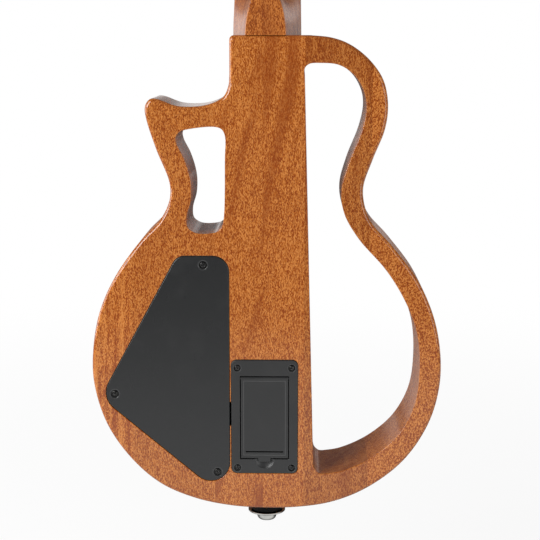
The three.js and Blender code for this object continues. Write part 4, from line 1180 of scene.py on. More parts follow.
class Look(Enum):
    """Every finish of the instrument."""

    BODY = WoodFinish(
        "satin mahogany", light=(0.57, 0.205, 0.044), middle=(0.4, 0.108, 0.01),
        dark=(0.24, 0.044, 0.002), pore=(0.17, 0.03, 0.004), roughness=0.34, gloss=0.05,
        coat=0.8, boards=BODY_BOARDS)
    NECK = WoodFinish(
        "satin neck wood", light=(0.52, 0.175, 0.036), middle=(0.36, 0.094, 0.011),
        dark=(0.2, 0.038, 0.005), pore=(0.13, 0.026, 0.005), roughness=0.34, gloss=0.05,
        coat=0.8, wall_coat=0.9, boards=(BoardFigure(-120, tone=0.97, curl=0.4),))
    DARK_WOOD = WoodFinish(
        "oiled dark wood", light=(0.11, 0.05, 0.028), middle=(0.06, 0.026, 0.015),
        dark=(0.026, 0.011, 0.007), pore=(0.008, 0.004, 0.003), roughness=0.46, band_gap=0.006)
    COVER = PlasticFinish(
        "satin black plastic", (0.012, 0.0128, 0.0135), (0.018, 0.0183, 0.019), 0.3, gloss=0.7, edge=0.25)
    MOULDING = PlasticFinish(
        "moulded black plastic", (0.013, 0.0135, 0.014), (0.021, 0.021, 0.0215), 0.42,
        relief=0.02, gloss=0.8, edge=0.25)
    KNOB = PlasticFinish(
        "gloss black plastic", (0.009, 0.009, 0.0095), (0.013, 0.013, 0.013), 0.2, relief=0.003, coat=0.5)
    DULL_BLACK = PlasticFinish("dull black", (0.006, 0.006, 0.0065), (0.01, 0.01, 0.0105), 0.55, gloss=0.1)
    WHITE_PAINT = PlasticFinish("white line paint", (0.78, 0.77, 0.74), (0.6, 0.59, 0.56), 0.45)
    BLACK_STEEL = MetalFinish(
        "blackened steel", (0.045, 0.044, 0.042), (0.025, 0.025, 0.027), 0.3, edge=0.9)
    CHROME = MetalFinish("polished chrome", (0.66, 0.66, 0.63), (0.5, 0.5, 0.47), 0.1, painted_rim_shade=0.9)
    FRET_WIRE = MetalFinish(
        "nickel silver", (0.66, 0.63, 0.56), (0.5, 0.47, 0.4), 0.16, grain=1600.0, stretch=0.2)
    BRASS = MetalFinish("plated brass", (0.62, 0.5, 0.28), (0.42, 0.34, 0.2), 0.25)
    BONE = PaleFinish(
        "polished bone", (0.76, 0.69, 0.54), (0.64, 0.55, 0.39), 0.28, (500, 500, 90), 0.15)
    PEARL = PaleFinish("pearloid", (0.74, 0.71, 0.64), (0.52, 0.5, 0.46), 0.18, (260, 320, 180), 0.1)
    NYLON = PaleFinish("clear nylon", (0.72, 0.7, 0.64), (0.62, 0.6, 0.55), 0.26, (300, 300, 12), 0.2)
    CIRCUIT = PlasticFinish(
        "green solder mask", (0.008, 0.085, 0.035), (0.015, 0.12, 0.05), 0.35, grain=900.0)
    COMPONENT = PlasticFinish("component black", (0.012, 0.012, 0.013), (0.03, 0.03, 0.03), 0.5)
    BATTERY = PlasticFinish(
        "copper tone battery sleeve", (0.34, 0.17, 0.035), (0.27, 0.13, 0.03), 0.32, coat=0.3)
    BATTERY_BAND = PlasticFinish(
        "black battery sleeve", (0.014, 0.014, 0.014), (0.02, 0.02, 0.02), 0.3, coat=0.3)
    SHEATH = PlasticFinish("lead sheath", (0.01, 0.01, 0.01), (0.02, 0.02, 0.02), 0.55)

    @property
    def material(self) -> Material:
        """Gives the material that was mixed from the finish."""
        return bpy.data.materials[self.value.name]


def mix_materials() -> None:
    """Builds the material of every finish once."""
    effects = Effects()
    for look in Look:
        look.value.material(effects)


SHARP_TURN = 35


def hand_over(piece: Object, look: Look, replaced: str = "",
              carrier: Carrier = Carrier.BODY, weighted: bool = True) -> None:
    """Shades a finished piece, gives it its material and ties it to the frame.

    Args:
        piece: the finished piece.
        look: its finish.
        replaced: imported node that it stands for, if any.
        carrier: the body that it rides on.
        weighted: whether large flats keep their own normals beside roundings.
    """
    choose(piece)
    bpy.ops.object.shade_smooth_by_angle(angle=math.radians(SHARP_TURN))
    if weighted:
        modifier = piece.modifiers.new("flats", "WEIGHTED_NORMAL")
        modifier.keep_sharp = True
        apply(piece, modifier)
    piece.data.materials.clear()
    piece.data.materials.append(look.material)
    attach(piece, carrier.value)
    if replaced:
        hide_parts(replaced)
    LOG.info("%s: %d faces on %s", piece.name, len(piece.data.polygons), carrier.value)


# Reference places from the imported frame


@dataclass(frozen=True)
class Datum:
    """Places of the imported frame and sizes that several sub-assemblies share."""

    joint_z: float
    bottom_z: float
    face_y: float
    back_y: float
    seams: Point2
    half_width: float = 111.16
    length: float = 302.5
    scale: float = 430.0
    cavity_skin: float = 4.0

    @classmethod
    def from_frame(cls) -> "Datum":
        """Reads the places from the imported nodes.

        Returns:
            The reference places.
        """
        low, high = box_of("body_centre")
        seams = (box_of("body_left")[1].x, box_of("body_right")[0].x)
        return cls(high.z, low.z, high.y, low.y, seams)

    @property
    def middle_y(self) -> float:
        """Gives the depth halfway through the body."""
        return (self.face_y + self.back_y) / 2

    @property
    def cavity_floor(self) -> float:
        """Gives the depth of the control cavity's floor."""
        return self.face_y - self.cavity_skin

    def spot(self, share: Point2) -> Point2:
        """Turns shares of the body into a place on it."""
        return share[0] * self.half_width, self.joint_z - share[1] * self.length


# Shares of the body's half width, and of its length measured down from the neck joint.
OUTLINE_SHARES: tuple[Point2, ...] = (
    (0.244, 0), (0.36, 0.0045), (0.46, 0.0175), (0.57, 0.048), (0.65, 0.0895), (0.678, 0.14),
    (0.662, 0.19), (0.596, 0.252), (0.545, 0.314), (0.585, 0.375), (0.71, 0.4285),
    (0.863, 0.503), (0.96, 0.585), (1, 0.666), (0.994, 0.736), (0.936, 0.812), (0.8, 0.891),
    (0.6, 0.951), (0.4, 0.984), (0.2, 0.9975), (-0.03, 1), (-0.21, 0.9955), (-0.41, 0.98),
    (-0.61, 0.948), (-0.78, 0.893), (-0.92, 0.816), (-0.99, 0.729), (-0.994, 0.66),
    (-0.952, 0.575), (-0.86, 0.499), (-0.71, 0.4215), (-0.595, 0.377), (-0.541, 0.335),
    (-0.54, 0.3), (-0.611, 0.232), (-0.665, 0.17), (-0.673, 0.147), (-0.6605, 0.1345),
    (-0.637, 0.1275), (-0.6, 0.1285), (-0.5, 0.1415), (-0.4, 0.1435), (-0.31, 0.138),
    (-0.235, 0.1235), (-0.207, 0.102),
)
CUTAWAY_SHARE = 0.08
LARGE_OPENING_SHARES: tuple[Point2, ...] = (
    (0.275, 0.9), (0.284, 0.911), (0.312, 0.9205), (0.365, 0.92), (0.45, 0.9135),
    (0.61, 0.885), (0.76, 0.8365), (0.853, 0.772), (0.88, 0.695), (0.862, 0.6155),
    (0.795, 0.549), (0.683, 0.4815), (0.52, 0.413), (0.44, 0.361), (0.424, 0.316),
    (0.462, 0.26), (0.535, 0.19), (0.558, 0.1455), (0.545, 0.114), (0.49, 0.08),
    (0.405, 0.0595), (0.305, 0.0555), (0.24, 0.0575), (0.2165, 0.066), (0.217, 0.08),
)
SMALL_OPENING_SHARES: tuple[Point2, ...] = (
    (-0.285, 0.1845), (-0.245, 0.1895), (-0.2265, 0.203), (-0.2275, 0.25), (-0.234, 0.365),
    (-0.245, 0.388), (-0.275, 0.4005), (-0.325, 0.4045), (-0.395, 0.403), (-0.438, 0.392),
    (-0.444, 0.37), (-0.42, 0.335), (-0.42, 0.295), (-0.455, 0.25), (-0.495, 0.22),
    (-0.5, 0.2055), (-0.48, 0.195), (-0.44, 0.19),
)


@dataclass
class ScrewSeats:
    """Pockets and bores of one kind of wood screw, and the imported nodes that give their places."""

    nodes: tuple[str, ...]
    head_radius: float
    shank_radius: float
    pocket_radius: float
    pocket_depth: float
    length: float
    gap: float = 0.2

    def places(self) -> list[Point2]:
        """Gives the middle of each screw across and up."""
        return [middle_of(node) for node in self.nodes]

    def bores(self, start_y: float, end_y: float) -> list[Object]:
        """Gives a rod for each screw that cuts its bore between two depths."""
        radius = self.shank_radius + self.gap
        return [drill("bore", radius, (x, start_y, z), (x, end_y, z), 20) for x, z in self.places()]

    def pockets(self, outer_y: float, rim: float = 0.6, sink: float = 0.3) -> list[Object]:
        """Gives the solids that cut the screws' pockets, each with a shallow sink round it.

        Args:
            outer_y: depth of the face that they open to.
            rim: width of the sink.
            sink: depth of the sink.

        Returns:
            One turned solid for each screw.
        """
        radius = self.pocket_radius
        profile = [(radius + rim, -1), (radius + rim, 0), (radius + rim * 0.3, sink * 0.8),
                   (radius, sink), (radius, self.pocket_depth)]
        return [turn("pocket", profile, 40, at(x, outer_y, z) @ ALONG_Y) for x, z in self.places()]


COVER_SCREWS = ScrewSeats(("cover_screw_1", "cover_screw_2", "cover_screw_3"), 2.1, 1.1, 2.7, 1.3, 12)
BOX_SCREWS = ScrewSeats(("box_screw_1", "box_screw_2", "box_screw_3", "box_screw_4"),
                        1.9, 0.9, 2.4, 1.2, 10)


@dataclass
class ControlCover:
    """The black plate over the control cavity."""

    datum: Datum
    top_left_shares: Point2 = (-0.503, 0.4515)
    low_left_shares: Point2 = (-0.953, 0.756)
    foot_share: float = 0.9857
    rounds: tuple[float, ...] = (8.6, 10.2, 12.4, 13.4)
    rim_round: float = 0.7
    ledge: float = 5.0

    def __post_init__(self) -> None:
        """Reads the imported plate's right side and the depth of its inner face."""
        self.right, self.inner_y, _ = box_of("control_cover")[1]
        self.cavity_right = self.right - self.ledge

    def outline(self, out: float = 0.0) -> list[Point2]:
        """Gives the plate's outline, moved outward by a distance.

        Args:
            out: that distance.

        Returns:
            The outline's points.
        """
        left, top = self.datum.spot(self.top_left_shares)
        foot = self.datum.spot((0, self.foot_share))[1]
        places = ((left, top), (self.right, top), (self.right, foot), self.datum.spot(self.low_left_shares))
        corners = [(*place, radius) for place, radius in zip(places, self.rounds)]
        return offset(anticlockwise(rounded(corners, 12)), out)

    def build(self) -> None:
        """Makes the plate with its screw pockets."""
        back = self.datum.back_y
        piece = plate("cover_plate", self.outline(), eased(back, self.inner_y, self.rim_round, 3))
        carve(piece, *COVER_SCREWS.pockets(back), *COVER_SCREWS.bores(back, self.inner_y + 1))
        hand_over(piece, Look.COVER, "control_cover")


@dataclass
class Body:
    """The body of glued boards, routed from the back."""

    datum: Datum
    cover: ControlCover
    box: "BatteryBox"
    cutaway_x: float = -22.3
    corner_round: float = 2.9
    edge_round: float = 2.4
    edge_ease: float = 0.5
    pocket_ease: float = 0.4
    pocket_gap: float = 0.2
    boss_radius: float = 5.0
    notch_height: float = 16.0
    notch_depth: float = 9.0
    notch_rise: float = 31.4
    jack_hole_radius: float = 5.8
    jack_chamber: float = 31.0
    wire_bore_radius: float = 2.6
    pot_hole_radius: float = 3.8
    pickup_x: float = -23.6
    pickup_radius: float = 1.6
    pickup_drop: float = 4.0
    mortise_half: float = 12.3
    mortise_length: float = 26.3
    mortise_inset: float = 8.7

    def __post_init__(self) -> None:
        """Works out how high the notch beside the battery box starts."""
        self.notch_z = self.box.low.z + self.notch_rise

    def outline(self) -> list[Point2]:
        """Gives the body's outline, with the small arc beside the neck.

        Returns:
            The outline's points.
        """
        datum, radius = self.datum, self.corner_round
        cutaway = (self.cutaway_x, datum.joint_z - CUTAWAY_SHARE * datum.length)
        run = spline([*map(datum.spot, OUTLINE_SHARES), cutaway], 7)
        middle = (self.cutaway_x + radius, datum.joint_z - radius)
        return anticlockwise([*run, *arc(middle, radius, math.pi, -math.pi / 2, 8)])

    def cavity(self) -> Object:
        """Makes the solid that cuts the control cavity.

        Returns:
            The solid, which leaves three screw bosses standing.
        """
        back, floor = self.datum.back_y, self.datum.cavity_floor
        solid = plate("cavity", self.cover.outline(-self.cover.ledge), [(back - 1, 0), (floor, 0)])
        bosses = [drill("boss", self.boss_radius, (x, back - 2, z), (x, floor + 1, z), 32)
                  for x, z in COVER_SCREWS.places()]
        return carve(solid, *bosses)

    def cutters(self) -> list[Object]:
        """Makes every solid that is cut out of the body.

        Returns:
            The solids, ready to be used up.
        """
        datum, box, cover, gap = self.datum, self.box, self.cover, self.pocket_gap
        back, face, floor, middle = datum.back_y, datum.face_y, datum.cavity_floor, datum.middle_y
        low, high = box.low, box.high
        flange_y = low.y + box.flange_thickness
        tray = box.wall + gap
        bore_z = datum.bottom_z + self.jack_chamber - self.wire_bore_radius
        flange = rounded_box((low.x - gap, high.x + gap), (low.z - gap, high.z + gap),
                             box.corner_round + gap, 10)
        through = [(back - 1, self.edge_ease), *eased(back, face, -self.edge_ease, 3),
                   (face + 1, self.edge_ease)]
        start = Vector((self.pickup_x, face, -datum.scale))
        end = Vector((cover.cavity_right - self.pickup_radius, floor - self.pickup_drop, -datum.scale))
        start -= (end - start) * self.pickup_radius / self.pickup_drop
        openings = (spline([*map(datum.spot, LARGE_OPENING_SHARES)], 8),
                    spline([*map(datum.spot, SMALL_OPENING_SHARES)], 8, True))
        return [
            *(plate("opening", outline, through) for outline in openings),
            plate("cover pocket", cover.outline(gap), flared(back, cover.inner_y, self.pocket_ease)),
            plate("flange pocket", flange, flared(back, flange_y, self.pocket_ease)),
            self.cavity(),
            block("tray pocket", (box.left - tray, box.right + tray), (back - 1, high.y + gap),
                  (box.bottom - tray, box.top + tray)),
            block("notch", (cover.cavity_right - 1, box.left - box.wall),
                  (back - 1, back + self.notch_depth), (self.notch_z, self.notch_z + self.notch_height)),
            drill("jack hole", self.jack_hole_radius, (0, middle, datum.bottom_z - 1),
                  (0, middle, datum.bottom_z + self.jack_chamber), 48),
            drill("wire bore", self.wire_bore_radius, (0, middle, bore_z),
                  (cover.cavity_right - 2 * self.boss_radius, middle, bore_z)),
            drill("pickup bore", self.pickup_radius, start, end),
            block("mortise", span(0, self.mortise_half),
                  (back + self.mortise_inset, face - self.mortise_inset),
                  (datum.joint_z - self.mortise_length, datum.joint_z + 1)),
            *COVER_SCREWS.bores(back, cover.inner_y + COVER_SCREWS.length),
            *BOX_SCREWS.bores(back, flange_y + BOX_SCREWS.length),
            *(drill("pot hole", self.pot_hole_radius, (x, floor - 1, z), (x, face + 1, z), 32)
              for x, z in (middle_of("volume_pot"), middle_of("tone_pot"))),
        ]

    def build(self) -> None:
        """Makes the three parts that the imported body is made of."""
        datum = self.datum
        whole = plate("body", self.outline(), eased(datum.back_y, datum.face_y, self.edge_round))
        carve(whole, *self.cutters())
        far = 2 * datum.half_width
        sides = (-far, *datum.seams, far)
        for i, side in enumerate(("left", "centre", "right")):
            piece = copied(whole, f"{side}_boards")
            room = block("room", sides[i:i + 2], (datum.back_y - 1, datum.face_y + 1),
                         (datum.bottom_z - 1, datum.joint_z + 1))
            combine(piece, "INTERSECT", [room])
            hand_over(piece, Look.BODY, f"body_{side}")
            self.paint_notch_shade(piece)
        bpy.data.objects.remove(whole)

    def paint_notch_shade(self, piece: Object) -> None:
        """Paints the notch between the cavity and the battery box black, as painted shade for the deep notch.

        Args:
            piece: the part of the body that is painted.
        """
        slack = 0.01

        def inside(spot: Vector, normal: Vector) -> bool:
            """Says whether a face lies in the notch, from its centre."""
            across = self.cover.cavity_right - 1 < spot.x < self.box.left
            along = self.notch_z - slack < spot.z < self.notch_z + self.notch_height + slack
            return across and along and self.datum.back_y + slack < spot.y

        # Painted shade: the deep notch is coloured dull black.
        piece.data.materials.append(Look.DULL_BLACK.material)
        pick(piece, "FACE", inside)
        piece.active_material_index = 1
        bpy.ops.object.material_slot_assign()
        done()


HEAD_SHARES: tuple[Point2, ...] = (
    (0.57, 0.06), (0.66, 0.12), (0.86, 0.18), (0.96, 0.27), (0.985, 0.45), (0.99, 0.65),
    (1, 0.83), (0.96, 0.9), (0.8, 0.925), (0.55, 0.925), (0.28, 0.955),
)


@dataclass
class Neck:
    """Shaft, heel, tenon and headstock of the neck, with the fingerboard, frets and nut."""

    datum: Datum
    frets: int = 18
    octave: int = 12
    nut_half: float = 18.5
    joint_half: float = 21.8
    depth_at_nut: float = 14.2
    depth_at_joint: float = 17.0
    fullness: float = 0.8
    cap_half: float = 12.5
    cap_height: float = 29.8
    cap_ease: float = 0.5
    heel_sweep: float = 36.0
    tenon_half: float = 12.0
    tenon_length: float = 26.0
    tenon_inset: float = 9.0
    nut_length: float = 5.0
    head_tilt: float = 13.0
    head_length: float = 120.0
    head_half: float = 34.0
    head_thickness: float = 14.0
    head_root: float = 12.0
    head_round: float = 1.2
    post_hole_radius: float = 4.3
    board_thickness: float = 5.0
    board_overhang: float = 7.0
    board_side_round: float = 0.7
    board_end_round: float = 0.4
    fret_height: float = 1.0
    fret_half: float = 1.1
    fret_setback: float = 0.4
    string_spread: float = 28.0
    string_height: float = 1.9
    fret_slope: float = 32.0
    fret_sunk: float = 0.15
    dot_frets: tuple[int, ...] = (5, 7, 10, 12, 15)
    dot_radius: float = 2.4
    dot_spread: float = 8.0
    side_dot_radius: float = 0.9
    slot_gap: float = 0.22

    @property
    def board_top(self) -> float:
        """Gives the depth of the fingerboard's face."""
        return self.datum.face_y + self.board_thickness

    @property
    def head_frame(self) -> Matrix:
        """Gives the tilted place of the headstock."""
        tilt = Matrix.Rotation(math.radians(self.head_tilt), 4, "X")
        return Matrix.Translation((0, self.datum.face_y, self.nut_length)) @ tilt

    def fret_z(self, fret: int) -> float:
        """Gives the height of a fret."""
        return -self.datum.scale * (1 - 2 ** (-fret / self.octave))

    def half_width(self, z: float) -> float:
        """Gives half the neck's width at a height."""
        share = max(0.0, z / self.datum.joint_z)
        return self.nut_half + (self.joint_half - self.nut_half) * share

    def shaft(self) -> Object:
        """Makes the rounded shaft.

        Returns:
            The shaft.
        """
        sides, steps = 40, 12
        rings = []
        for step in range(steps + 1):
            z = self.nut_length + (self.datum.joint_z - self.nut_length) * step / steps
            share = max(0.0, z / self.datum.joint_z)
            depth = self.depth_at_nut + (self.depth_at_joint - self.depth_at_nut) * share
            half = self.half_width(z)
            ring = []
            for side in range(sides + 1):
                angle = math.pi * side / sides
                deep = max(math.sin(angle), 0.0) ** self.fullness * depth
                ring.append((half * math.cos(angle), self.datum.face_y - deep, z))
            rings.append(ring)
        return stack("neck", rings)

    def heel(self) -> Object:
        """Makes the heel, from its flat cap with an eased rim up to the shaft.

        Returns:
            The heel.
        """
        sides, steps, rim_steps, ease = 48, 20, 3, self.cap_ease
        back = self.datum.back_y
        depth = self.datum.face_y - back - self.depth_at_joint / 2
        rings = []
        for step in range(-rim_steps, steps + 1):
            along = max(step, 0) / steps
            lift = math.sin(along * math.pi / 2)
            half = self.cap_half + (self.joint_half - self.cap_half) * lift
            height = self.cap_height + self.heel_sweep * (1 - math.cos(along * math.pi / 2))
            y = back + depth * lift
            if step < 1:
                turn_in = math.pi / 2 * (step + rim_steps) / rim_steps
                y = back + ease * (1 - math.cos(turn_in))
                half -= ease * (1 - math.sin(turn_in))
                height -= ease * (1 - math.sin(turn_in))
            if step == 0:
                continue
            rings.append([
                (half * math.cos(math.pi * i / sides), y,
                 self.datum.joint_z + height * math.sin(math.pi * i / sides))
                for i in range(sides + 1)
            ])
        return stack("heel", rings)

    def head(self) -> Object:
        """Makes the headstock in its tilted place.

        Returns:
            The headstock with its four post holes.
        """
        right = [(across * self.head_half, up * self.head_length) for across, up in HEAD_SHARES]
        left = [(-x, z) for x, z in reversed(right)]
        ends = (self.nut_half, 0.0), (-self.nut_half, 0.0)
        curve = spline([ends[0], *right, (0.0, self.head_length), *left, ends[1]], 6)
        outline = [(self.nut_half, -self.head_root), *curve, (-self.nut_half, -self.head_root)]
        piece = plate("head", outline, eased(-self.head_thickness, 0, self.head_round, 4))
        low, high = -self.head_thickness - 1, 1
        holes = [drill("post hole", self.post_hole_radius, (x, low, z), (x, high, z), 40)
                 for x, z in TUNER_PLACES]
        return set_down(carve(piece, *holes), self.head_frame)

    def build(self) -> None:
        """Makes the neck's wood, the fingerboard with its frets and dots, and the nut."""
        datum = self.datum
        tenon = block("tenon", span(0, self.tenon_half),
                      (datum.back_y + self.tenon_inset, datum.face_y - self.tenon_inset),
                      (datum.joint_z - self.tenon_length, datum.joint_z + 1))
        above = block("nut seat", span(0, self.head_half),
                      (datum.face_y, datum.face_y + self.head_root),
                      (-self.head_root - 1, self.nut_length))
        piece = fuse(self.shaft(), self.heel(), self.head(), tenon)
        piece.name = "neck_wood"
        carve(piece, above)
        hand_over(piece, Look.NECK, "neck")
        self.build_board()
        self.build_nut()

    def build_board(self) -> None:
        """Makes the fingerboard, its frets and its position dots."""
        end_z = self.fret_z(self.frets) - self.board_overhang
        end_half = self.half_width(end_z)
        outline = [(-self.nut_half, 0.0), (-end_half, end_z), (end_half, end_z), (self.nut_half, 0.0)]
        piece = plate("fingerboard_wood", outline, [(self.datum.face_y, 0), (self.board_top, 0)])
        top = self.board_top
        bevel_edges(piece, lambda a, b: min(a.y, b.y) > top - 0.01 and abs(a.z - b.z) > 1,
                    self.board_side_round, 3)
        bevel_edges(piece, lambda a, b: max(a.z, b.z) < end_z + 0.01 and min(a.y, b.y) > top - 0.9,
                    self.board_end_round, 2)
        hand_over(piece, Look.DARK_WOOD, "fingerboard")
        for fret in range(1, self.frets + 1):
            self.build_fret(fret)
        self.build_dots()

    def build_fret(self, fret: int) -> None:
        """Makes one fret: a crown of wire with sloping ends.

        Args:
            fret: its number from the nut.
        """
        z = self.fret_z(fret)
        half = self.half_width(z) - self.fret_setback
        seat = self.board_top - self.fret_sunk
        piece = drill(f"fret_{fret}", 1.0, (-half, 0, 0), (half, 0, 0), 20)
        grown = Matrix.Diagonal((1, self.fret_height + self.fret_sunk, self.fret_half, 1))
        set_down(piece, at(0, seat, z) @ grown)
        slope = math.radians(self.fret_slope)
        cuts = [((0, seat, 0), (0, -1, 0))]
        cuts += [((side * half, self.board_top + 0.1, z), (side * math.cos(slope), math.sin(slope), 0))
                 for side in (-1, 1)]
        edit(piece)
        for spot, normal in cuts:
            bpy.ops.mesh.select_all(action="SELECT")
            bpy.ops.mesh.bisect(plane_co=Vector(spot) * MM, plane_no=normal, clear_outer=True, use_fill=True)
        done()
        hand_over(piece, Look.FRET_WIRE)

    def build_dots(self) -> None:
        """Sets pearloid dots in the face of the board and along its upper side."""
        middle_y = (self.datum.face_y + self.board_top) / 2
        outward = ALONG_X @ Matrix.Rotation(math.pi, 4, "X")
        for fret in self.dot_frets:
            z = (self.fret_z(fret - 1) + self.fret_z(fret)) / 2
            spots = span(0, self.dot_spread) if fret == self.octave else (0.0,)
            for i, x in enumerate(spots):
                radius = self.dot_radius
                self.dot(f"dot_{fret}_{i + 1}", [(radius, -1.2), (radius, -0.02), (radius - 0.06, 0.03)], 32,
                         at(x, self.board_top, z) @ ALONG_Y)
            radius = self.side_dot_radius
            self.dot(f"side_dot_{fret}", [(radius, -1.0), (radius, -0.02), (radius - 0.05, 0.03)], 20,
                     at(-self.half_width(z), middle_y, z) @ outward)

    def dot(self, name: str, profile: Sequence[Point2], sides: int, place: Matrix) -> None:
        """Sets one pearloid dot that is turned from a profile."""
        hand_over(turn(name, profile, sides, place), Look.PEARL, weighted=False)

    def build_nut(self) -> None:
        """Makes the nut with its four string slots and a rounded top."""
        low, high = box_of("nut")
        piece = block("nut_bone", (low.x, high.x), (low.y, high.y), (low.z, high.z))
        bevel_edges(piece, lambda a, b: min(a.y, b.y) > high.y - 0.01 and min(a.z, b.z) > high.z - 0.01,
                    1.6, 5)
        soften(piece, 0.25, 2)
        slots = []
        y = self.board_top + self.string_height
        along = (low.z - 1, high.z + 1)
        for i, string_radius in enumerate(STRING_RADII):
            x = (i / (len(STRING_RADII) - 1) - 0.5) * self.string_spread
            half = string_radius + self.slot_gap
            slots.append(drill("slot", half, (x, y, along[0]), (x, y, along[1]), 20))
            slots.append(block("slot", span(x, half), (y, high.y + 1), along))
        carve(piece, *slots)
        hand_over(piece, Look.BONE, "nut")


POST_X = 21.0
FIRST_POST = 38.0
POST_PITCH = 36.0
TUNER_PLACES: tuple[Point2, ...] = (
    (-POST_X, FIRST_POST), (-POST_X, FIRST_POST + POST_PITCH),
    (POST_X, FIRST_POST + POST_PITCH), (POST_X, FIRST_POST),
)
STRING_RADII: tuple[float, ...] = (0.3, 0.42, 0.5, 0.36)


@dataclass
class Bridge:
    """The bridge with its saddle, and the strings tied to it."""

    datum: Datum
    neck: Neck
    half_length: float = 27.0
    ahead: float = 8.0
    behind: float = 18.0
    height: float = 7.0
    top_round: float = 1.4
    saddle_half: float = 1.45
    slot_gap: float = 0.15
    slot_floor: float = 2.0
    slot_half_length: float = 24.6
    trench: Point2 = (4.0, 11.0)
    trench_floor: float = 2.5
    tie_height: float = 3.7
    tie_radius: float = 1.1
    spread: float = 41.0
    string_rise: float = 3.0
    winding_top: float = 8.6
    winding_turns: float = 2.75
    winding_radius: float = 2.9
    tail: float = 1.2

    @property
    def saddle_z(self) -> float:
        """Gives the height of the saddle."""
        return -self.datum.scale

    def string_x(self, index: int) -> Point2:
        """Gives a string's place across at the nut and at the saddle."""
        share = index / (len(STRING_RADII) - 1) - 0.5
        return share * self.neck.string_spread, share * self.spread

    def build(self) -> None:
        """Makes the bridge, the saddle and the strings."""
        self.build_bridge()
        self.build_saddle()
        for index in range(len(STRING_RADII)):
            self.build_string(index)

    def build_bridge(self) -> None:
        """Makes the bridge's wood with its slot, trench and tie holes."""
        face, z = self.datum.face_y, self.saddle_z
        top = face + self.height
        outline = rounded_box(span(0, self.half_length), (z - self.behind, z + self.ahead),
                              self.height / 2, 8)
        steps = 5
        levels = [(face, 0.0), *eased(face, top, self.top_round, steps)[steps + 1:]]
        piece = plate("bridge_wood", outline, levels)
        half = self.saddle_half + self.slot_gap
        tools = [
            block("slot", span(0, self.slot_half_length + self.slot_gap),
                  (face + self.slot_floor, top + 1), span(z, half)),
            block("trench", span(0, self.half_length + 1), (face + self.trench_floor, top + 1),
                  (z - self.trench[1], z - self.trench[0])),
            drill("lead hole", self.tie_radius, (1 - self.slot_half_length, face - 1, z),
                  (1 - self.slot_half_length, face + self.slot_floor + 1, z)),
        ]
        y = face + self.tie_height
        for index in range(len(STRING_RADII)):
            x = self.string_x(index)[1]
            tools.append(drill("tie hole", self.tie_radius, (x, y, z - self.behind - 1),
                               (x, y, z - self.trench[1] + 1)))
        carve(piece, *tools)
        soften(piece, 0.3, 2, 60)
        hand_over(piece, Look.DARK_WOOD, "bridge")

    def build_saddle(self) -> None:
        """Makes the saddle with a rounded crown."""
        low, high = box_of("saddle")
        piece = block("saddle_bone", (low.x, high.x), (low.y, high.y), (low.z, high.z))
        bevel_edges(piece, lambda a, b: min(a.y, b.y) > high.y - 0.01 and abs(a.x - b.x) > 1, 1.1, 5)
        soften(piece, 0.2, 2)
        hand_over(piece, Look.BONE, "saddle")

    def build_string(self, index: int) -> None:
        """Makes a string from its knot behind the tie block to its turns on the post.

        Args:
            index: number of the string from 0.
        """
        radius = STRING_RADII[index]
        nut_x, saddle_x = self.string_x(index)
        face, z = self.datum.face_y, self.saddle_z
        nut_y = self.neck.board_top + self.neck.string_height
        middle_y = self.neck.board_top + self.neck.fret_height + self.string_rise
        saddle_y = nut_y + (middle_y - nut_y) / -self.neck.fret_z(self.neck.octave) * self.datum.scale
        over_nut = Vector((nut_x, nut_y, self.neck.nut_length))
        tie_y = face + self.tie_height
        route = [
            (saddle_x, tie_y, z - self.behind - self.tail),
            (saddle_x, tie_y, z - self.trench[1] + self.tail / 2),
            (saddle_x, saddle_y, z - self.saddle_half),
            (saddle_x, saddle_y, z),
            (nut_x, nut_y, 0),
            over_nut,
            *self.winding(index, radius, over_nut),
        ]
        piece = tube(f"string_line_{index + 1}", route, radius)
        hand_over(piece, Look.NYLON, f"string_{index + 1}", weighted=False)
        self.build_tie(index, radius, saddle_x, tie_y)

    def build_tie(self, index: int, radius: float, x: float, y: float) -> None:
        """Makes the loop that ties a string over the tie block.

        Args:
            index: number of the string from 0.
            radius: its radius.
            x: its place across.
            y: depth of its hole.
        """
        top = self.datum.face_y + self.height + radius + 0.05
        rear = self.saddle_z - self.behind - radius - 0.25
        front = self.saddle_z - self.trench[1] + radius + 0.2
        side = 2.2 * radius + 0.5
        route = [
            (x, y, rear + 0.1), (x + 0.1, (y + top) / 2, rear), (x + side * 0.4, top, rear + 1.2),
            (x + side, top, (rear + front) / 2), (x + side * 0.8, top - 0.3, front),
            (x, y + 1.7, front + 0.7), (x - side * 0.8, top - 0.3, front),
            (x - side, top, (rear + front) / 2), (x - side, top + 0.1, rear + 2.2),
            (x + side * 0.2, top + 2 * radius, rear + 1.6), (x + side * 1.6, top, rear + 1.5),
        ]
        piece = tube(f"string_tie_{index + 1}", spline(route, 6), radius)
        hand_over(piece, Look.NYLON, weighted=False)

    def winding(self, index: int, radius: float, start: Vector) -> list[Vector]:
        """Gives a string's turns round its post.

        Args:
            index: number of the string from 0.
            radius: its radius.
            start: where it leaves the nut.

        Returns:
            Points of the turns.
        """
        tilted = self.neck.head_frame
        post_x, post_z = TUNER_PLACES[index]
        side = math.copysign(1, post_x)
        seen = tilted.inverted() @ start
        away = Vector((seen.x - post_x, seen.z - post_z))
        turn_radius = self.winding_radius + radius
        first = math.atan2(away.y, away.x) - side * math.acos(turn_radius / away.length)
        pitch = 2 * radius + 0.06
        flats = 24
        points = []
        for step in range(round(self.winding_turns * flats) + 1):
            turned = step / flats
            angle = first - side * turned * math.tau
            spot = Vector((post_x + turn_radius * math.cos(angle), self.winding_top - turned * pitch,
                           post_z + turn_radius * math.sin(angle)))
            points.append(tilted @ spot)
        return points


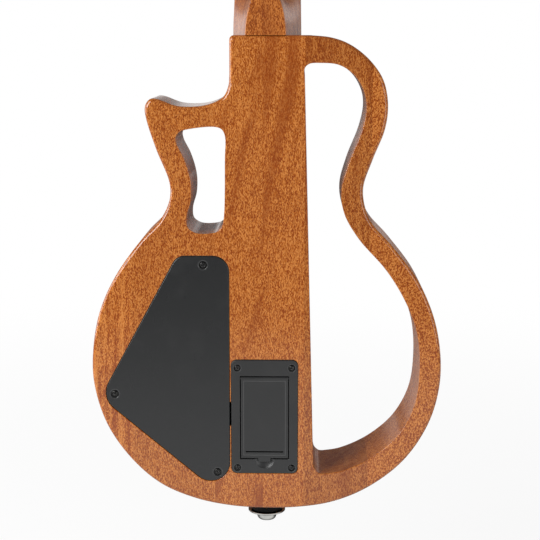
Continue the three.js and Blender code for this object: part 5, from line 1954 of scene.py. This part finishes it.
@dataclass
class WoodScrews:
    """Cross-slot wood screws with domed heads."""

    head_depth: float = 1.0
    slot_half_width: float = 0.3
    slot_depth: float = 0.75
    reach_share: float = 0.62
    dome_steps: int = 6
    first_tilt: float = 25.0
    next_tilt: float = 50.0

    def model(self, seats: ScrewSeats) -> Object:
        """Models one screw whose head seats at height 0 and whose tip points up.

        Args:
            seats: sizes of the screw.

        Returns:
            The screw.
        """
        head, shank = seats.head_radius, seats.shank_radius
        length = seats.length - seats.pocket_depth
        quarter = [math.pi / 2 * step / self.dome_steps for step in reversed(range(self.dome_steps))]
        dome = [(head * math.cos(a), -self.head_depth * (0.35 + 0.65 * math.sin(a))) for a in quarter]
        profile = [(0.1, -self.head_depth), *dome, (head, 0.0), (shank, 0.0),
                   (shank, length - 2 * shank), (0.1, length)]
        screw = turn("screw", profile, 40)
        reach = head * self.reach_share
        low = -self.head_depth - 1
        high = -self.head_depth + self.slot_depth
        half = self.slot_half_width
        for x, z in ((reach, half), (half, reach)):
            carve(screw, block("slot", span(0, x), span(0, z), (low, high)))
        return screw

    def build(self, seats: ScrewSeats, seat_y: float) -> None:
        """Sets a screw in each seat.

        Args:
            seats: the places and sizes.
            seat_y: depth at which the heads seat.
        """
        model = self.model(seats)
        for i, (node, (x, z)) in enumerate(zip(seats.nodes, seats.places())):
            tilt = Matrix.Rotation(math.radians(self.first_tilt + self.next_tilt * i), 4, "Y")
            piece = copied(model, f"{node}_cross", at(x, seat_y, z) @ tilt @ ALONG_Y)
            hand_over(piece, Look.BLACK_STEEL, node)
        bpy.data.objects.remove(model)


@dataclass
class BatteryBox:
    """The battery box with its door, battery and contacts."""

    flange_thickness: float = 2.5
    corner_round: float = 3.4
    opening_side: float = 5.5
    opening_rise: float = 9.5
    opening_drop: float = 10.5
    wall: float = 1.5
    rim_round: float = 0.45
    scoop_radius: float = 6.4
    scoop_depth: float = 1.6
    pin_radius: float = 0.6
    pin_gap: float = 0.2
    pin_length: float = 1.4
    knuckle_radius: float = 1.1
    hinge_gap: float = 0.5
    door_gap: float = 0.65
    door_thickness: float = 2.0
    slit_width: float = 24.4
    slit_height: float = 1.0
    slit_rise: float = 3.7
    tab_width: float = 7.8
    tab_length: float = 2.4
    tab_thickness: float = 1.0
    wire_slot_z: float = 39.4
    snap_reach: float = 6.35
    stud_height: float = 2.2
    contact_thickness: float = 1.5
    crimp_round: float = 2.2

    def __post_init__(self) -> None:
        """Works out the opening and the hinge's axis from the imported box."""
        self.low, self.high = box_of("battery_box")
        self.left, self.right = self.low.x + self.opening_side, self.high.x - self.opening_side
        self.bottom, self.top = self.low.z + self.opening_rise, self.high.z - self.opening_drop
        self.middle_x = (self.low.x + self.high.x) / 2
        self.hinge_y = self.low.y + self.knuckle_radius
        self.hinge_z = self.top - self.hinge_gap - self.knuckle_radius

    def build(self) -> None:
        """Makes every piece of the box."""
        self.build_box()
        self.build_door()
        self.build_battery()
        self.build_contacts()

    def axle(self, name: str, radius: float, left: float, right: float, sides: int = 24) -> Object:
        """Makes a rod on the hinge's axis from its left end to its right end."""
        return drill(name, radius, (left, self.hinge_y, self.hinge_z), (right, self.hinge_y, self.hinge_z),
                     sides)

    def build_box(self) -> None:
        """Makes the flange and tray in one moulding."""
        low, high = self.low, self.high
        outline = rounded_box((low.x, high.x), (low.z, high.z), self.corner_round, 10)
        inner = low.y + self.flange_thickness
        piece = plate("box_moulding", outline, eased(low.y, inner, self.rim_round, 4))
        tray = block("tray", (self.left - self.wall, self.right + self.wall), (inner - 1, high.y),
                     (self.bottom - self.wall, self.top + self.wall), 0.8)
        fuse(piece, tray)
        mouth = rounded_box((self.left, self.right), (self.bottom, self.top), 0.5, 4)
        reach = (self.right - self.left) / 2 + self.pin_length + self.pin_gap
        scoop = turn("scoop", [
            (self.scoop_radius + 0.5, -1), (self.scoop_radius, 0), (self.scoop_radius * 0.86, 0.75),
            (self.scoop_radius * 0.6, 1.25), (self.scoop_radius * 0.3, self.scoop_depth),
            (0.2, self.scoop_depth + 0.02)], 48, at(self.middle_x, low.y, self.bottom) @ ALONG_Y)
        slot_z = low.z + self.wire_slot_z
        carve(
            piece,
            plate("mouth", mouth, flared(low.y, high.y - self.wall, 0.35)),
            self.axle("pins", self.pin_radius + self.pin_gap, self.middle_x - reach, self.middle_x + reach),
            scoop,
            block("wire slot", (self.left - self.wall - 1, self.left + 1), (inner + 1, inner + 6),
                  span(slot_z, 3)),
            *BOX_SCREWS.pockets(low.y, 0.35, 0.2),
            *BOX_SCREWS.bores(low.y, inner + 1),
        )
        hand_over(piece, Look.MOULDING, "battery_box")

    def build_door(self) -> None:
        """Makes the door with its rolled hinge edge, slit, latch tab and a low raised panel."""
        left, right = self.left + self.door_gap, self.right - self.door_gap
        bottom, outer = self.bottom + self.door_gap, self.low.y
        inner = outer + self.door_thickness
        piece = block("door_panel", (left, right), (outer, inner), (bottom, self.hinge_z))
        bevel_edges(piece, lambda a, b: max(a.y, b.y) < outer + 0.01 and max(a.z, b.z) < self.hinge_z, 0.3, 3)
        inset_faces(piece, lambda spot, normal: normal.y < -0.99, (1.5, 0.0), (0.35, -0.18))
        knuckle = self.axle("knuckle", self.knuckle_radius, left, right, 32)
        pin = self.axle("pin", self.pin_radius, self.left - self.pin_length, self.right + self.pin_length)
        half = self.tab_width / 2
        tab = block("tab", span(self.middle_x, half),
                    (outer, outer + self.tab_thickness), (bottom - self.tab_length, bottom + 1), 0.25)
        fuse(piece, knuckle, pin, tab)
        slit_z = bottom + self.slit_rise
        half = self.slit_width / 2
        slit = rounded_box(span(self.middle_x, half), (slit_z, slit_z + self.slit_height),
                           self.slit_height / 2.2, 5)
        carve(piece, plate("slit", slit, [(outer - 1, 0), (inner + 1, 0)]))
        hand_over(piece, Look.MOULDING, "battery_door", Carrier.DOOR)

    def build_battery(self) -> None:
        """Makes the battery: a sleeve with crimped ends, a dark band, and two snaps."""
        low, high = box_of("battery_9v")
        top = high.z - self.stud_height
        can = block("battery_can", (low.x, high.x), (low.y, high.y), (low.z, top))
        bevel_edges(can, lambda a, b: abs(a.z - b.z) > 1, self.crimp_round, 5)
        inset_faces(can, lambda spot, normal: abs(normal.z) > 0.9, (0.5, 0.0), (0.3, -0.5))
        soften(can, 0.2, 2, 60)
        hand_over(can, Look.BATTERY_BAND, "battery_9v")
        band = block("battery_band", (low.x - 0.02, high.x + 0.02), (low.y - 0.02, high.y + 0.02),
                     (low.z + 30, top - 0.6))
        bevel_edges(band, lambda a, b: abs(a.z - b.z) > 1, self.crimp_round, 5)
        hand_over(band, Look.BATTERY)
        self.snaps("battery", top, Look.CHROME, [
            [(3.4, -0.7), (3.4, 0.3), (radius, 0.5), (radius - 0.2, 1.2), (radius, 1.9),
             (radius - 0.3, 2.2), (radius - 1.0, 2.2), (radius - 1.2, 1.2)] for radius in (2.7, 3.3)])

    def build_contacts(self) -> None:
        """Makes the snap plate above the battery."""
        low, high = box_of("battery_contacts")
        under = high.z - self.contact_thickness
        piece = block("contact_plate", (low.x, high.x), (low.y, high.y), (under, high.z), 0.3)
        hand_over(piece, Look.COMPONENT, "battery_contacts")
        mouth = 0.1 - (under - low.z)
        profile = [(3.4, 0.2), (3.4, -0.5), (3.0, -0.8), (3.2, mouth), (2.4, mouth), (2.2, -0.9)]
        self.snaps("contact", under, Look.BRASS, [profile, profile])

    def snaps(self, kind: str, z: float, look: Look, profiles: Sequence[Sequence[Point2]]) -> None:
        """Sets the left and the right snap of the battery or its contacts.

        Args:
            kind: battery or contact.
            z: height that the profiles start from.
            look: finish of the snaps.
            profiles: radius and height of the rings of each.
        """
        low, high = box_of({"battery": "battery_9v", "contact": "battery_contacts"}[kind])
        for i, profile in enumerate(profiles):
            x = (low.x + high.x) / 2 + (2 * i - 1) * self.snap_reach
            snap = turn(f"{kind}_snap_{i + 1}", profile, 28, at(x, (low.y + high.y) / 2, z))
            hand_over(snap, look)


@dataclass
class Controls:
    """The pots with their nuts and knobs, and the preamp board that they carry."""

    datum: Datum
    bushing_radius: float = 3.5
    bushing_proud: float = 2.6
    bushing_bore: float = 3.25
    thread_turns: int = 8
    nut_radius: float = 5.6
    nut_thickness: float = 1.8
    knob_radius: float = 8.8
    knob_gap: float = 0.5
    knob_shaft: float = 3.0
    ribs: int = 36
    board_thickness: float = 1.6
    connector_inset: float = 6.0
    connector_pitch: float = 10.0
    chip_reach: float = 10.0
    leg_pitch: float = 2.0
    capacitor_inset: float = 5.0
    capacitor_reach: float = 7.5

    def build(self) -> None:
        """Makes both controls and dresses the board."""
        for name, carrier in (("volume", Carrier.VOLUME), ("tone", Carrier.TONE)):
            x, z = middle_of(f"{name}_pot_nut")
            self.build_pot(name, x, z)
            self.build_nut(name, x, z)
            self.build_knob(name, x, z, carrier)
        self.build_board()

    def build_pot(self, name: str, x: float, z: float) -> None:
        """Makes a pot: its can, threaded bushing and three lugs.

        Args:
            name: volume or tone.
            x: place across.
            z: place up.
        """
        low, high = box_of(f"{name}_pot")
        floor, top = self.datum.cavity_floor, self.datum.face_y + self.bushing_proud
        radius = (high.x - low.x) / 2
        thread = []
        for step in range(self.thread_turns):
            start = floor + (top - floor) * step / self.thread_turns
            thread += [(self.bushing_radius - 0.18, start + 0.05), (self.bushing_radius, start + 0.4)]
        bore = self.bushing_bore
        profile = [(0.3, low.y), (radius - 0.6, low.y), (radius, low.y + 0.5), (radius, low.y + 4.5),
                   (radius - 0.5, low.y + 4.7), (radius - 0.5, floor - 1.2), (radius, floor - 1.1),
                   (radius, floor), *thread, (self.bushing_radius - 0.2, top), (bore, top),
                   (bore, top - 2), (0.3, top - 2)]
        piece = turn(f"{name}_pot_can", profile, 40, at(x, 0, z) @ ALONG_Y)
        hand_over(piece, Look.CHROME, f"{name}_pot")

    def build_nut(self, name: str, x: float, z: float) -> None:
        """Makes a six-sided nut on a thin washer.

        Args:
            name: volume or tone.
            x: place across.
            z: place up.
        """
        place = at(x, self.datum.face_y, z) @ ALONG_Y
        nut = turn(f"{name}_pot_hex", [(self.nut_radius, 0.35), (self.nut_radius, self.nut_thickness)], 6)
        soften(nut, 0.25, 2)
        fuse(nut, turn("washer", [(self.nut_radius, 0.0), (self.nut_radius, 0.4)], 40))
        carve(nut, turn("bore", [(self.bushing_radius + 0.15, -1), (self.bushing_radius + 0.15, 4)], 32))
        hand_over(set_down(nut, place), Look.CHROME, f"{name}_pot_nut")

    def build_knob(self, name: str, x: float, z: float, carrier: Carrier) -> None:
        """Makes a ribbed knob with a white pointer line.

        Args:
            name: volume or tone.
            x: place across.
            z: place up.
            carrier: the body that it turns with.
        """
        low, high = box_of(f"{name}_knob")
        radius, top = self.knob_radius, high.y
        bottom = self.datum.face_y + self.knob_gap
        shaft, ribs = self.knob_shaft, self.ribs
        profile = [(0.3, low.y), (shaft - 0.2, low.y), (shaft, low.y + 0.3), (shaft, bottom + 3),
                   (6.6, bottom + 3), (6.6, bottom), (radius - 0.2, bottom), (radius, bottom + 0.25),
                   (radius, bottom + 2.2), (radius - 0.35, bottom + 2.6), (radius - 0.5, top - 1.6),
                   (radius - 0.9, top - 0.7), (radius - 1.7, top - 0.15), (radius - 2.6, top),
                   (radius - 3.2, top - 0.2), (0.3, top - 0.35)]
        piece = turn(f"{name}_knob_grip", profile, 2 * self.ribs)

        def rib(spot: Vector, normal: Vector) -> bool:
            """Says whether a face is one of the ribs round the side."""
            if abs(normal.z) > 0.3 or not bottom + 2.7 < spot.z < top - 1.2:
                return False
            return spot.xy.length > radius - 1.5 and int(
                math.degrees(math.atan2(spot.y, spot.x)) % 360 * ribs / 180) % 2 == 0

        inset_faces(piece, rib, (0.1, -0.35), apart=True)
        set_down(piece, at(x, 0, z) @ ALONG_Y)
        hand_over(piece, Look.KNOB, f"{name}_knob", carrier)
        line = block(f"{name}_pointer", span(x, 0.35), (top - 0.6, top - 0.12), (z + 2.2, z + 7.0),
                     0.08)
        hand_over(line, Look.WHITE_PAINT, carrier=carrier)

    def build_board(self) -> None:
        """Makes the preamp board with its parts."""
        low, high = box_of("preamp_board")
        back = high.y - self.board_thickness
        piece = block("board_plate", (low.x, high.x), (back, high.y), (low.z, high.z), 0.15)
        hand_over(piece, Look.CIRCUIT, "preamp_board")
        middle_x, middle_z = middle_of("preamp_board")
        for i, step in enumerate((1, 0, -1)):
            x, z = high.x - self.connector_inset, middle_z + step * self.connector_pitch
            plug = block(f"connector_{i + 1}", span(x, 3), (back - 4, back + 0.1), span(z, 2.5))
            inset_faces(plug, lambda spot, normal: normal.y < -0.9, (0.5, 0.0), (0.05, -2.2))
            hand_over(plug, Look.WHITE_PAINT)
        for i, side in enumerate((-1, 1)):
            x = middle_x + side * self.chip_reach
            chip = block(f"chip_{i + 1}", span(x, 2.4), (back - 1.8, back - 0.2),
                         span(middle_z, 4), 0.12)
            rows = [middle_z + self.leg_pitch * (row - 1.5) for row in range(4)]
            fuse(chip, *(block("leg", span(x, 3.3), (back - 0.9, back + 0.05), span(z, 0.3))
                         for z in rows))
            hand_over(chip, Look.COMPONENT)
            place = at(low.x + self.capacitor_inset, back, middle_z + side * self.capacitor_reach)
            can = turn(f"capacitor_{i + 1}", [
                (2.5, 0.1), (2.5, -1.0), (2.3, -1.3), (2.5, -1.6), (2.5, -6.7), (2.2, -7.0), (1.9, -7.0),
                (1.8, -6.85), (0.2, -6.85)], 28, place @ ALONG_Y)
            hand_over(can, Look.CHROME)


@dataclass
class EndpinJack:
    """The socket at the end of the body, with its collar, dished washer and nut."""

    datum: Datum
    bore: float = 3.25
    barrel_radius: float = 5.5
    thread_radius: float = 4.6
    thread_gap: float = 0.2
    thread_turns: int = 12
    inner_length: float = 27.0

    def seat(self, name: str, profile: Sequence[Point2], sides: int, node: str, look: Look = Look.CHROME,
             slot: Slot = Slot.CHROME) -> None:
        """Turns one bored piece of the jack on its axis, with heights from the body's end."""
        place = at(0, self.datum.middle_y, self.datum.bottom_z)
        hand_over(turn(name, profile, sides, place, True), look, node)

    def extent(self, node: str) -> tuple[float, float, float]:
        """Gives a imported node's lower and upper end from the body's end, and its radius."""
        low, high = box_of(node)
        return low.z - self.datum.bottom_z, high.z - self.datum.bottom_z, (high.x - low.x) / 2

    def build(self) -> None:
        """Makes the four pieces of the jack."""
        end = self.extent("jack_barrel")[0]
        hole, thread_radius = self.thread_radius + self.thread_gap, self.thread_radius
        barrel = self.barrel_radius
        thread = []
        for step in range(self.thread_turns):
            spot = end * step / self.thread_turns
            thread += [(thread_radius, spot - 0.1), (thread_radius - 0.25, spot - 0.75)]
        self.seat("jack_socket", [
            (self.bore, self.inner_length), (barrel - 0.3, self.inner_length),
            (barrel, self.inner_length - 0.3), (barrel, 0.0), *thread, (thread_radius - 0.3, end),
            (self.bore + 0.5, end), (self.bore, end + 0.5)], 40, "jack_barrel")
        low, high, wide = self.extent("jack_collar")
        self.seat("jack_black_collar", [
            (hole, high), (wide - 1.0, high), (wide - 0.5, high - 0.3), (wide - 0.1, high - 2.4),
            (wide, high - 3.0), (wide, low + 0.4), (wide - 0.4, low), (hole, low)], 64, "jack_collar",
            Look.DULL_BLACK, Slot.BLACK_PLASTIC)
        low, high, wide = self.extent("jack_washer")
        self.seat("jack_dished_washer", [
            (hole, high), (wide - 0.1, high), (wide, high - 0.1), (wide, high - 0.9),
            (wide - 0.2, high - 1.1), (11.0, high - 1.3), (9.8, high - 1.65), (8.8, high - 2.15),
            (7.6, high - 2.7), (6.9, high - 2.95), (6.4, low), (hole, low)], 72, "jack_washer")
        low, high, _ = self.extent("jack_nut")
        self.seat("jack_round_nut", [
            (hole, high), (6.1, high), (6.4, high - 0.3), (6.4, high - 1.6), (6.3, high - 2.2),
            (6.0, high - 2.9), (5.6, high - 3.4), (5.2, low + 0.06), (hole, low)], 64, "jack_nut")


@dataclass
class Tuners:
    """Four closed tuning machines on the tilted headstock."""

    neck: Neck
    seat_gap: float = 0.3
    housing_half: float = 7.6
    housing_thickness: float = 9.8
    wall: float = 1.7
    gear_radius: float = 5.0
    worm_radius: float = 2.2
    worm_turns: int = 5
    worm_half: float = 4.0
    gear_half: float = 1.6
    mesh_gap: float = 0.2
    run_gap: float = 0.3
    post_radius: float = 3.0
    waist_radius: float = 2.6
    post_top: float = 12.4
    stem_radius: float = 1.6
    button_start: float = 17.5
    button_length: float = 13.0
    button_half_width: float = 8.6
    button_half_depth: float = 4.1

    def build(self) -> None:
        """Models each piece once for each side and sets the copies on the headstock."""
        self.worm_z = self.gear_radius + self.worm_radius + self.mesh_gap
        self.front = -self.neck.head_thickness - self.seat_gap
        self.rear = self.front - self.housing_thickness
        self.gear_y = (self.rear + self.front) / 2
        models = {side: (self.housing(side), self.post(), self.bushing(), self.button(side))
                  for side in (-1, 1)}
        kinds = ("housing", "post", "bushing", "button")
        for i, (x, z) in enumerate(TUNER_PLACES):
            side = -1 if x < 0 else 1
            place = self.neck.head_frame @ at(x, 0, z)
            button = Carrier(f"tuner_{i + 1}_button")
            for kind, model in zip(kinds, models[side]):
                node = f"tuner_{i + 1}_{kind}"
                carrier = Carrier(node) if kind in ("post", "button") else Carrier.BODY
                look, slot = (Look.PEARL, Slot.PEARL) if kind == "button" else (Look.CHROME, Slot.CHROME)
                hand_over(copied(model, f"{node}_shape", place), look, node, carrier)
            for name, piece, carrier in (("shaft", self.shaft(side), button),
                                         ("screw", self.plate_screw(), Carrier.BODY)):
                piece.name = f"tuner_{i + 1}_{name}"
                hand_over(set_down(piece, place), Look.CHROME, carrier=carrier)
        for pieces in models.values():
            for piece in pieces:
                bpy.data.objects.remove(piece)

    def housing(self, side: int) -> Object:
        """Models the closed gear housing.

        Args:
            side: 1 on the right of the headstock, -1 on its left.

        Returns:
            The housing.
        """
        half = self.housing_half
        low = -self.worm_z - self.worm_radius - self.run_gap - self.wall
        high = self.gear_radius + self.run_gap + self.wall
        outline = rounded_box(span(0, half), (low, high), 2.4, 6)
        piece = plate("housing", outline, eased(self.rear, self.front, 1.2, 4))
        inset_faces(piece, lambda spot, normal: normal.y < -0.99, (0.6, 0.0), (0.3, -0.35))
        chamber = half - self.wall
        return carve(
            piece,
            block("chamber", span(0, chamber), (self.rear + self.wall, self.front - self.wall),
                  (low + self.wall, high - self.wall)),
            drill("post bore", self.post_radius + self.run_gap, (0, self.gear_y, 0),
                  (0, self.front + 1, 0), 32),
            drill("stem bore", self.stem_radius + self.run_gap, (0, self.gear_y, -self.worm_z),
                  (side * (half + 1), self.gear_y, -self.worm_z)),
        )

    def plate_screw(self) -> Object:
        """Models the small screw in the back of the housing, over the post's end.

        Returns:
            The screw.
        """
        screw = turn("plate screw", [(1.9, 0.4), (1.9, 0.1), (1.6, -0.15), (0.6, -0.3), (0.1, -0.3)], 28)
        carve(screw, block("slot", (-1.5, 1.5), (-0.22, 0.22), (-1, 0.0)))
        return set_down(screw, at(0, self.rear + 0.35, 0) @ ALONG_Y)

    def post(self) -> Object:
        """Models the string post with its gear.

        Returns:
            The post.
        """
        start = self.rear + self.wall + self.run_gap
        waist, wide, top = self.waist_radius, self.post_radius, self.post_top
        gear = span(self.gear_y, self.gear_half)
        bends = [(math.cos(math.pi * step / 6), 2.6 + 7.0 * step / 6) for step in range(1, 6)]
        profile = [(0.2, start), (waist, start), (waist, gear[0]), (self.gear_radius, gear[0]),
                   (self.gear_radius, gear[1]), (wide, gear[1]), (wide, 2.1), (waist, 2.6),
                   *((max(waist + 0.25 * bend - 0.25, 2.3), y) for bend, y in bends),
                   (waist, 9.6), (wide, 10.1), (wide, top - 0.7), (wide - 0.25, top - 0.2),
                   (wide - 0.7, top), (0.2, top)]
        hole = drill("string hole", 0.8, (-4, 6.4, 0), (4, 6.4, 0), 20)
        return carve(turn("post", profile, 40, ALONG_Y), hole)

    def bushing(self) -> Object:
        """Models the press-in bushing round the post.

        Returns:
            The bushing.
        """
        bore = self.post_radius + self.run_gap
        profile = [(bore, 1.55), (bore, -9), (4, -9), (4, 0.3), (5.6, 0.3), (5.6, 0.9), (5.4, 1.3),
                   (4.9, 1.65), (4.3, 1.8), (bore + 0.3, 1.8)]
        return turn("bushing", profile, 48, ALONG_Y, True)

    def shaft(self, side: int) -> Object:
        """Models the button's shaft with its worm and collar.

        Args:
            side: 1 on the right of the headstock, -1 on its left.

        Returns:
            The shaft.
        """
        start = -(self.housing_half - self.wall - self.run_gap)
        stem = self.stem_radius
        worm = []
        for step in range(self.worm_turns):
            spot = self.worm_half * (2 * step / self.worm_turns - 1)
            worm += [(self.worm_radius - 0.5, spot), (self.worm_radius, spot + 0.55),
                     (self.worm_radius, spot + 0.9)]
        profile = [(0.2, start), (stem, start), (stem, -4.05), *worm, (stem, 4.1), (stem, 8.2), (2.5, 8.3),
                   (2.7, 8.8), (2.5, 9.4), (stem, 9.5), (stem, 14.4), (2.6, 14.5), (3.0, 15.0), (3.0, 15.6),
                   (2.6, 16.4), (2.4, 18.4), (0.2, 18.4)]
        return turn("shaft", profile, 28, at(0, self.gear_y, -self.worm_z) @ Matrix.Rotation(
            math.radians(90 * side), 4, "Y"))

    def button(self, side: int) -> Object:
        """Models the flat, waisted grip of the button.

        Args:
            side: 1 on the right of the headstock, -1 on its left.

        Returns:
            The grip.
        """
        deselect_all()
        bpy.ops.mesh.primitive_uv_sphere_add(segments=32, ring_count=20, radius=1.0 * MM)
        piece = bpy.context.object
        length, wide, deep = self.button_length / 2, self.button_half_width, self.button_half_depth
        for vertex in piece.data.vertices:
            x, y, z = vertex.co / MM
            waist = 0.8 + 0.2 * min(1.0, (x + 1) / 1.1)
            fuller = math.copysign(abs(z) ** 0.8, z)
            vertex.co = Vector((x * length, y * deep * (1 - 0.25 * x * x), fuller * wide * waist)) * MM
        return set_down(piece, at(side * (self.button_start + length), self.gear_y, -self.worm_z)
                        @ Matrix.Rotation(math.radians(90 - 90 * side), 4, "Z"))


@dataclass
class Leads:
    """The three leads inside the body, and the pickup strip under the saddle."""

    def build(self) -> None:
        """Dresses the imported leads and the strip, which have their right shapes."""
        for node in ("battery_lead", "jack_lead", "pickup_lead"):
            self.dress(node, Look.SHEATH)
        self.dress("piezo_strip", Look.BLACK_STEEL)

    def dress(self, node: str, look: Look) -> None:
        """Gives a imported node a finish.

        Args:
            node: name of the node.
            look: its new finish.
        """
        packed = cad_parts[node]
        packed.data.materials.clear()
        packed.data.materials.append(look.material)
        LOG.info("%s keeps its packed shape", node)


@dataclass
class Studio:
    """The floor, the lamps, the world and the camera. Their sizes and places are in metres."""

    floor_drop: float = 0.1
    floor_size: float = 12.0
    camera_place: Point3 = (0.02222, -0.85434, -0.24020)
    camera_turn: Point3 = (79.942, 0.0, 1.380)
    lens_length: float = 87.2
    sensor_width: float = 36.0
    lamps_aim: Point3 = (0.0, -0.02, -0.38)

    def build(self) -> None:
        """Sets up everything round the instrument."""
        self.camera()
        self.floor()
        self.world()
        self.lamps()
        bpy.context.scene.view_settings.view_transform = "Standard"

    def camera(self) -> None:
        """Puts the camera where the photograph was taken from."""
        lens = bpy.data.cameras.new("camera")
        lens.lens = self.lens_length
        lens.sensor_width = self.sensor_width
        camera = shown("camera", lens)
        camera.location = self.camera_place
        camera.rotation_euler = [math.radians(angle) for angle in self.camera_turn]
        bpy.context.scene.camera = camera

    def floor(self) -> None:
        """Lays a pale floor under the hanging instrument. It glows evenly white to the camera, and to
        reflections it glows in set patches that paint reflections on the instrument.
        """
        deselect_all()
        level = cad_bounds[0].z - self.floor_drop
        bpy.ops.mesh.primitive_plane_add(size=self.floor_size, location=(0, 0, level))
        floor = bpy.context.object
        floor.name = "floor"
        sketch = Surface("pale floor")
        shader = sketch.node("ShaderNodeBsdfPrincipled", {
            "Base Color": (0.86, 0.86, 0.86, 1.0), "Roughness": 0.9, "Specular IOR Level": 0.0})
        path = sketch.node("ShaderNodeLightPath").outputs
        reach = sketch.vector("LENGTH", sketch.vector("MULTIPLY", sketch.place, (1, 1, 0)))
        seen = sketch.larger(path["Is Camera Ray"], path["Is Transmission Ray"])
        seen = sketch.times(seen, sketch.band(reach, 0.3, 1.3, 0.85, 1.0))
        across, depth, _ = sketch.parts(sketch.place)
        # Floor patches seen only in reflections, as painted reflections on the instrument: bright in front,
        # dimmer behind at the sides.
        front = sketch.times(sketch.band(reach, 0.6, 1.3, 0.8, 0.15), sketch.band(depth, 0.15, -0.1))
        left = sketch.times(sketch.band(across, 0.15, -0.1, 0.15, 0.6),
                            sketch.band(depth, 2.2, 1.4, 0.25, 1.0))
        sides = sketch.larger(left, sketch.band(across, 0.4, 0.7, 0.15, 0.8))
        behind = sketch.times(sides, sketch.band(depth, -0.1, 0.15))
        mirrored = path["Is Glossy Ray"]
        loss = sketch.math("SUBTRACT", 1.0, sketch.larger(front, behind))
        floor_glow = sketch.node("ShaderNodeEmission", {
            "Color": (1, 1, 1, 1), "Strength": sketch.math("SUBTRACT", 1.0, sketch.times(mirrored, loss))})
        mixed = sketch.node("ShaderNodeMixShader", {
            0: sketch.larger(seen, mirrored), 1: shader.outputs[0], 2: floor_glow.outputs[0]})
        sketch.node("ShaderNodeOutputMaterial", {"Surface": mixed.outputs[0]})
        floor.data.materials.append(sketch.material)

    def world(self) -> None:
        """Fills the room with soft light and makes it white to the camera."""
        world = bpy.data.worlds.new("studio")
        bpy.context.scene.world = world
        world.use_nodes = True
        world.node_tree.nodes.clear()
        sketch = Sketch(world.node_tree)
        path = sketch.node("ShaderNodeLightPath").outputs
        direction = sketch.node("ShaderNodeTexCoord").outputs["Generated"]
        across, depth, up = sketch.parts(direction)
        back = sketch.times(sketch.band(up, 0.22, 0.1), sketch.band(depth, 0.0, 0.6))
        side = sketch.band(across, 0.12, -0.08, 0.35, 0.8)
        beside = sketch.times(sketch.band(up, 0.05, 0.09), sketch.band(across, 0.01, 0.04))
        side = sketch.plus(side, sketch.times(beside, 0.35))
        side = sketch.times(side, sketch.band(up, -0.04, 0.0, 0.2, 1.0))
        low = sketch.larger(sketch.band(across, -0.04, 0.01), sketch.band(up, 0.12, 0.05, 0.15, 1.0))
        glossy = sketch.plus(sketch.times(back, sketch.times(side, low)), 0.1)
        glossy = sketch.times(glossy, path["Is Glossy Ray"])
        diffuse = sketch.times(path["Is Diffuse Ray"], 0.6)
        seen = sketch.larger(path["Is Camera Ray"], path["Is Transmission Ray"])
        level = sketch.larger(sketch.larger(seen, glossy), diffuse)
        glow = sketch.node("ShaderNodeBackground", {"Color": (1, 1, 1, 1), "Strength": level})
        sketch.node("ShaderNodeOutputWorld", {"Surface": glow.outputs[0]})

    def lamps(self) -> None:
        """Hangs soft lamps at the upper left, at the left and at the right."""
        self.lamp("key", (-0.85, -0.8, 0.1), 0.6, 9.0)
        self.lamp("side", (-1.3, -0.1, -0.2), 0.7, 7.0)
        self.lamp("fill", (1.0, -1.1, -0.3), 0.8, 4.0)

    def lamp(self, name: str, place: Point3, size: float, power: float) -> None:
        """Hangs one square lamp that faces the middle of the body.

        Args:
            name: name of the lamp.
            place: its place in metres.
            size: its side in metres.
            power: its power in watts.
        """
        light = bpy.data.lights.new(name, "AREA")
        light.size = size
        light.energy = power
        lamp = shown(name, light)
        lamp.location = place
        aim = Vector(self.lamps_aim) - Vector(place)
        lamp.rotation_euler = aim.to_track_quat("-Z", "Y").to_euler()


def main() -> None:
    """Builds the studio and every sub-assembly."""
    logging.basicConfig(level=logging.INFO, format="%(name)s: %(message)s")
    Studio().build()
    datum = Datum.from_frame()
    mix_materials()
    cover = ControlCover(datum)
    box = BatteryBox()
    neck = Neck(datum)
    screws = WoodScrews()
    Body(datum, cover, box).build()
    cover.build()
    screws.build(COVER_SCREWS, datum.back_y + COVER_SCREWS.pocket_depth)
    box.build()
    screws.build(BOX_SCREWS, box.low.y + BOX_SCREWS.pocket_depth)
    neck.build()
    Bridge(datum, neck).build()
    Controls(datum).build()
    EndpinJack(datum).build()
    Tuners(neck).build()
    Leads().build()
    deselect_all()


if __name__ == "__main__":
    main()
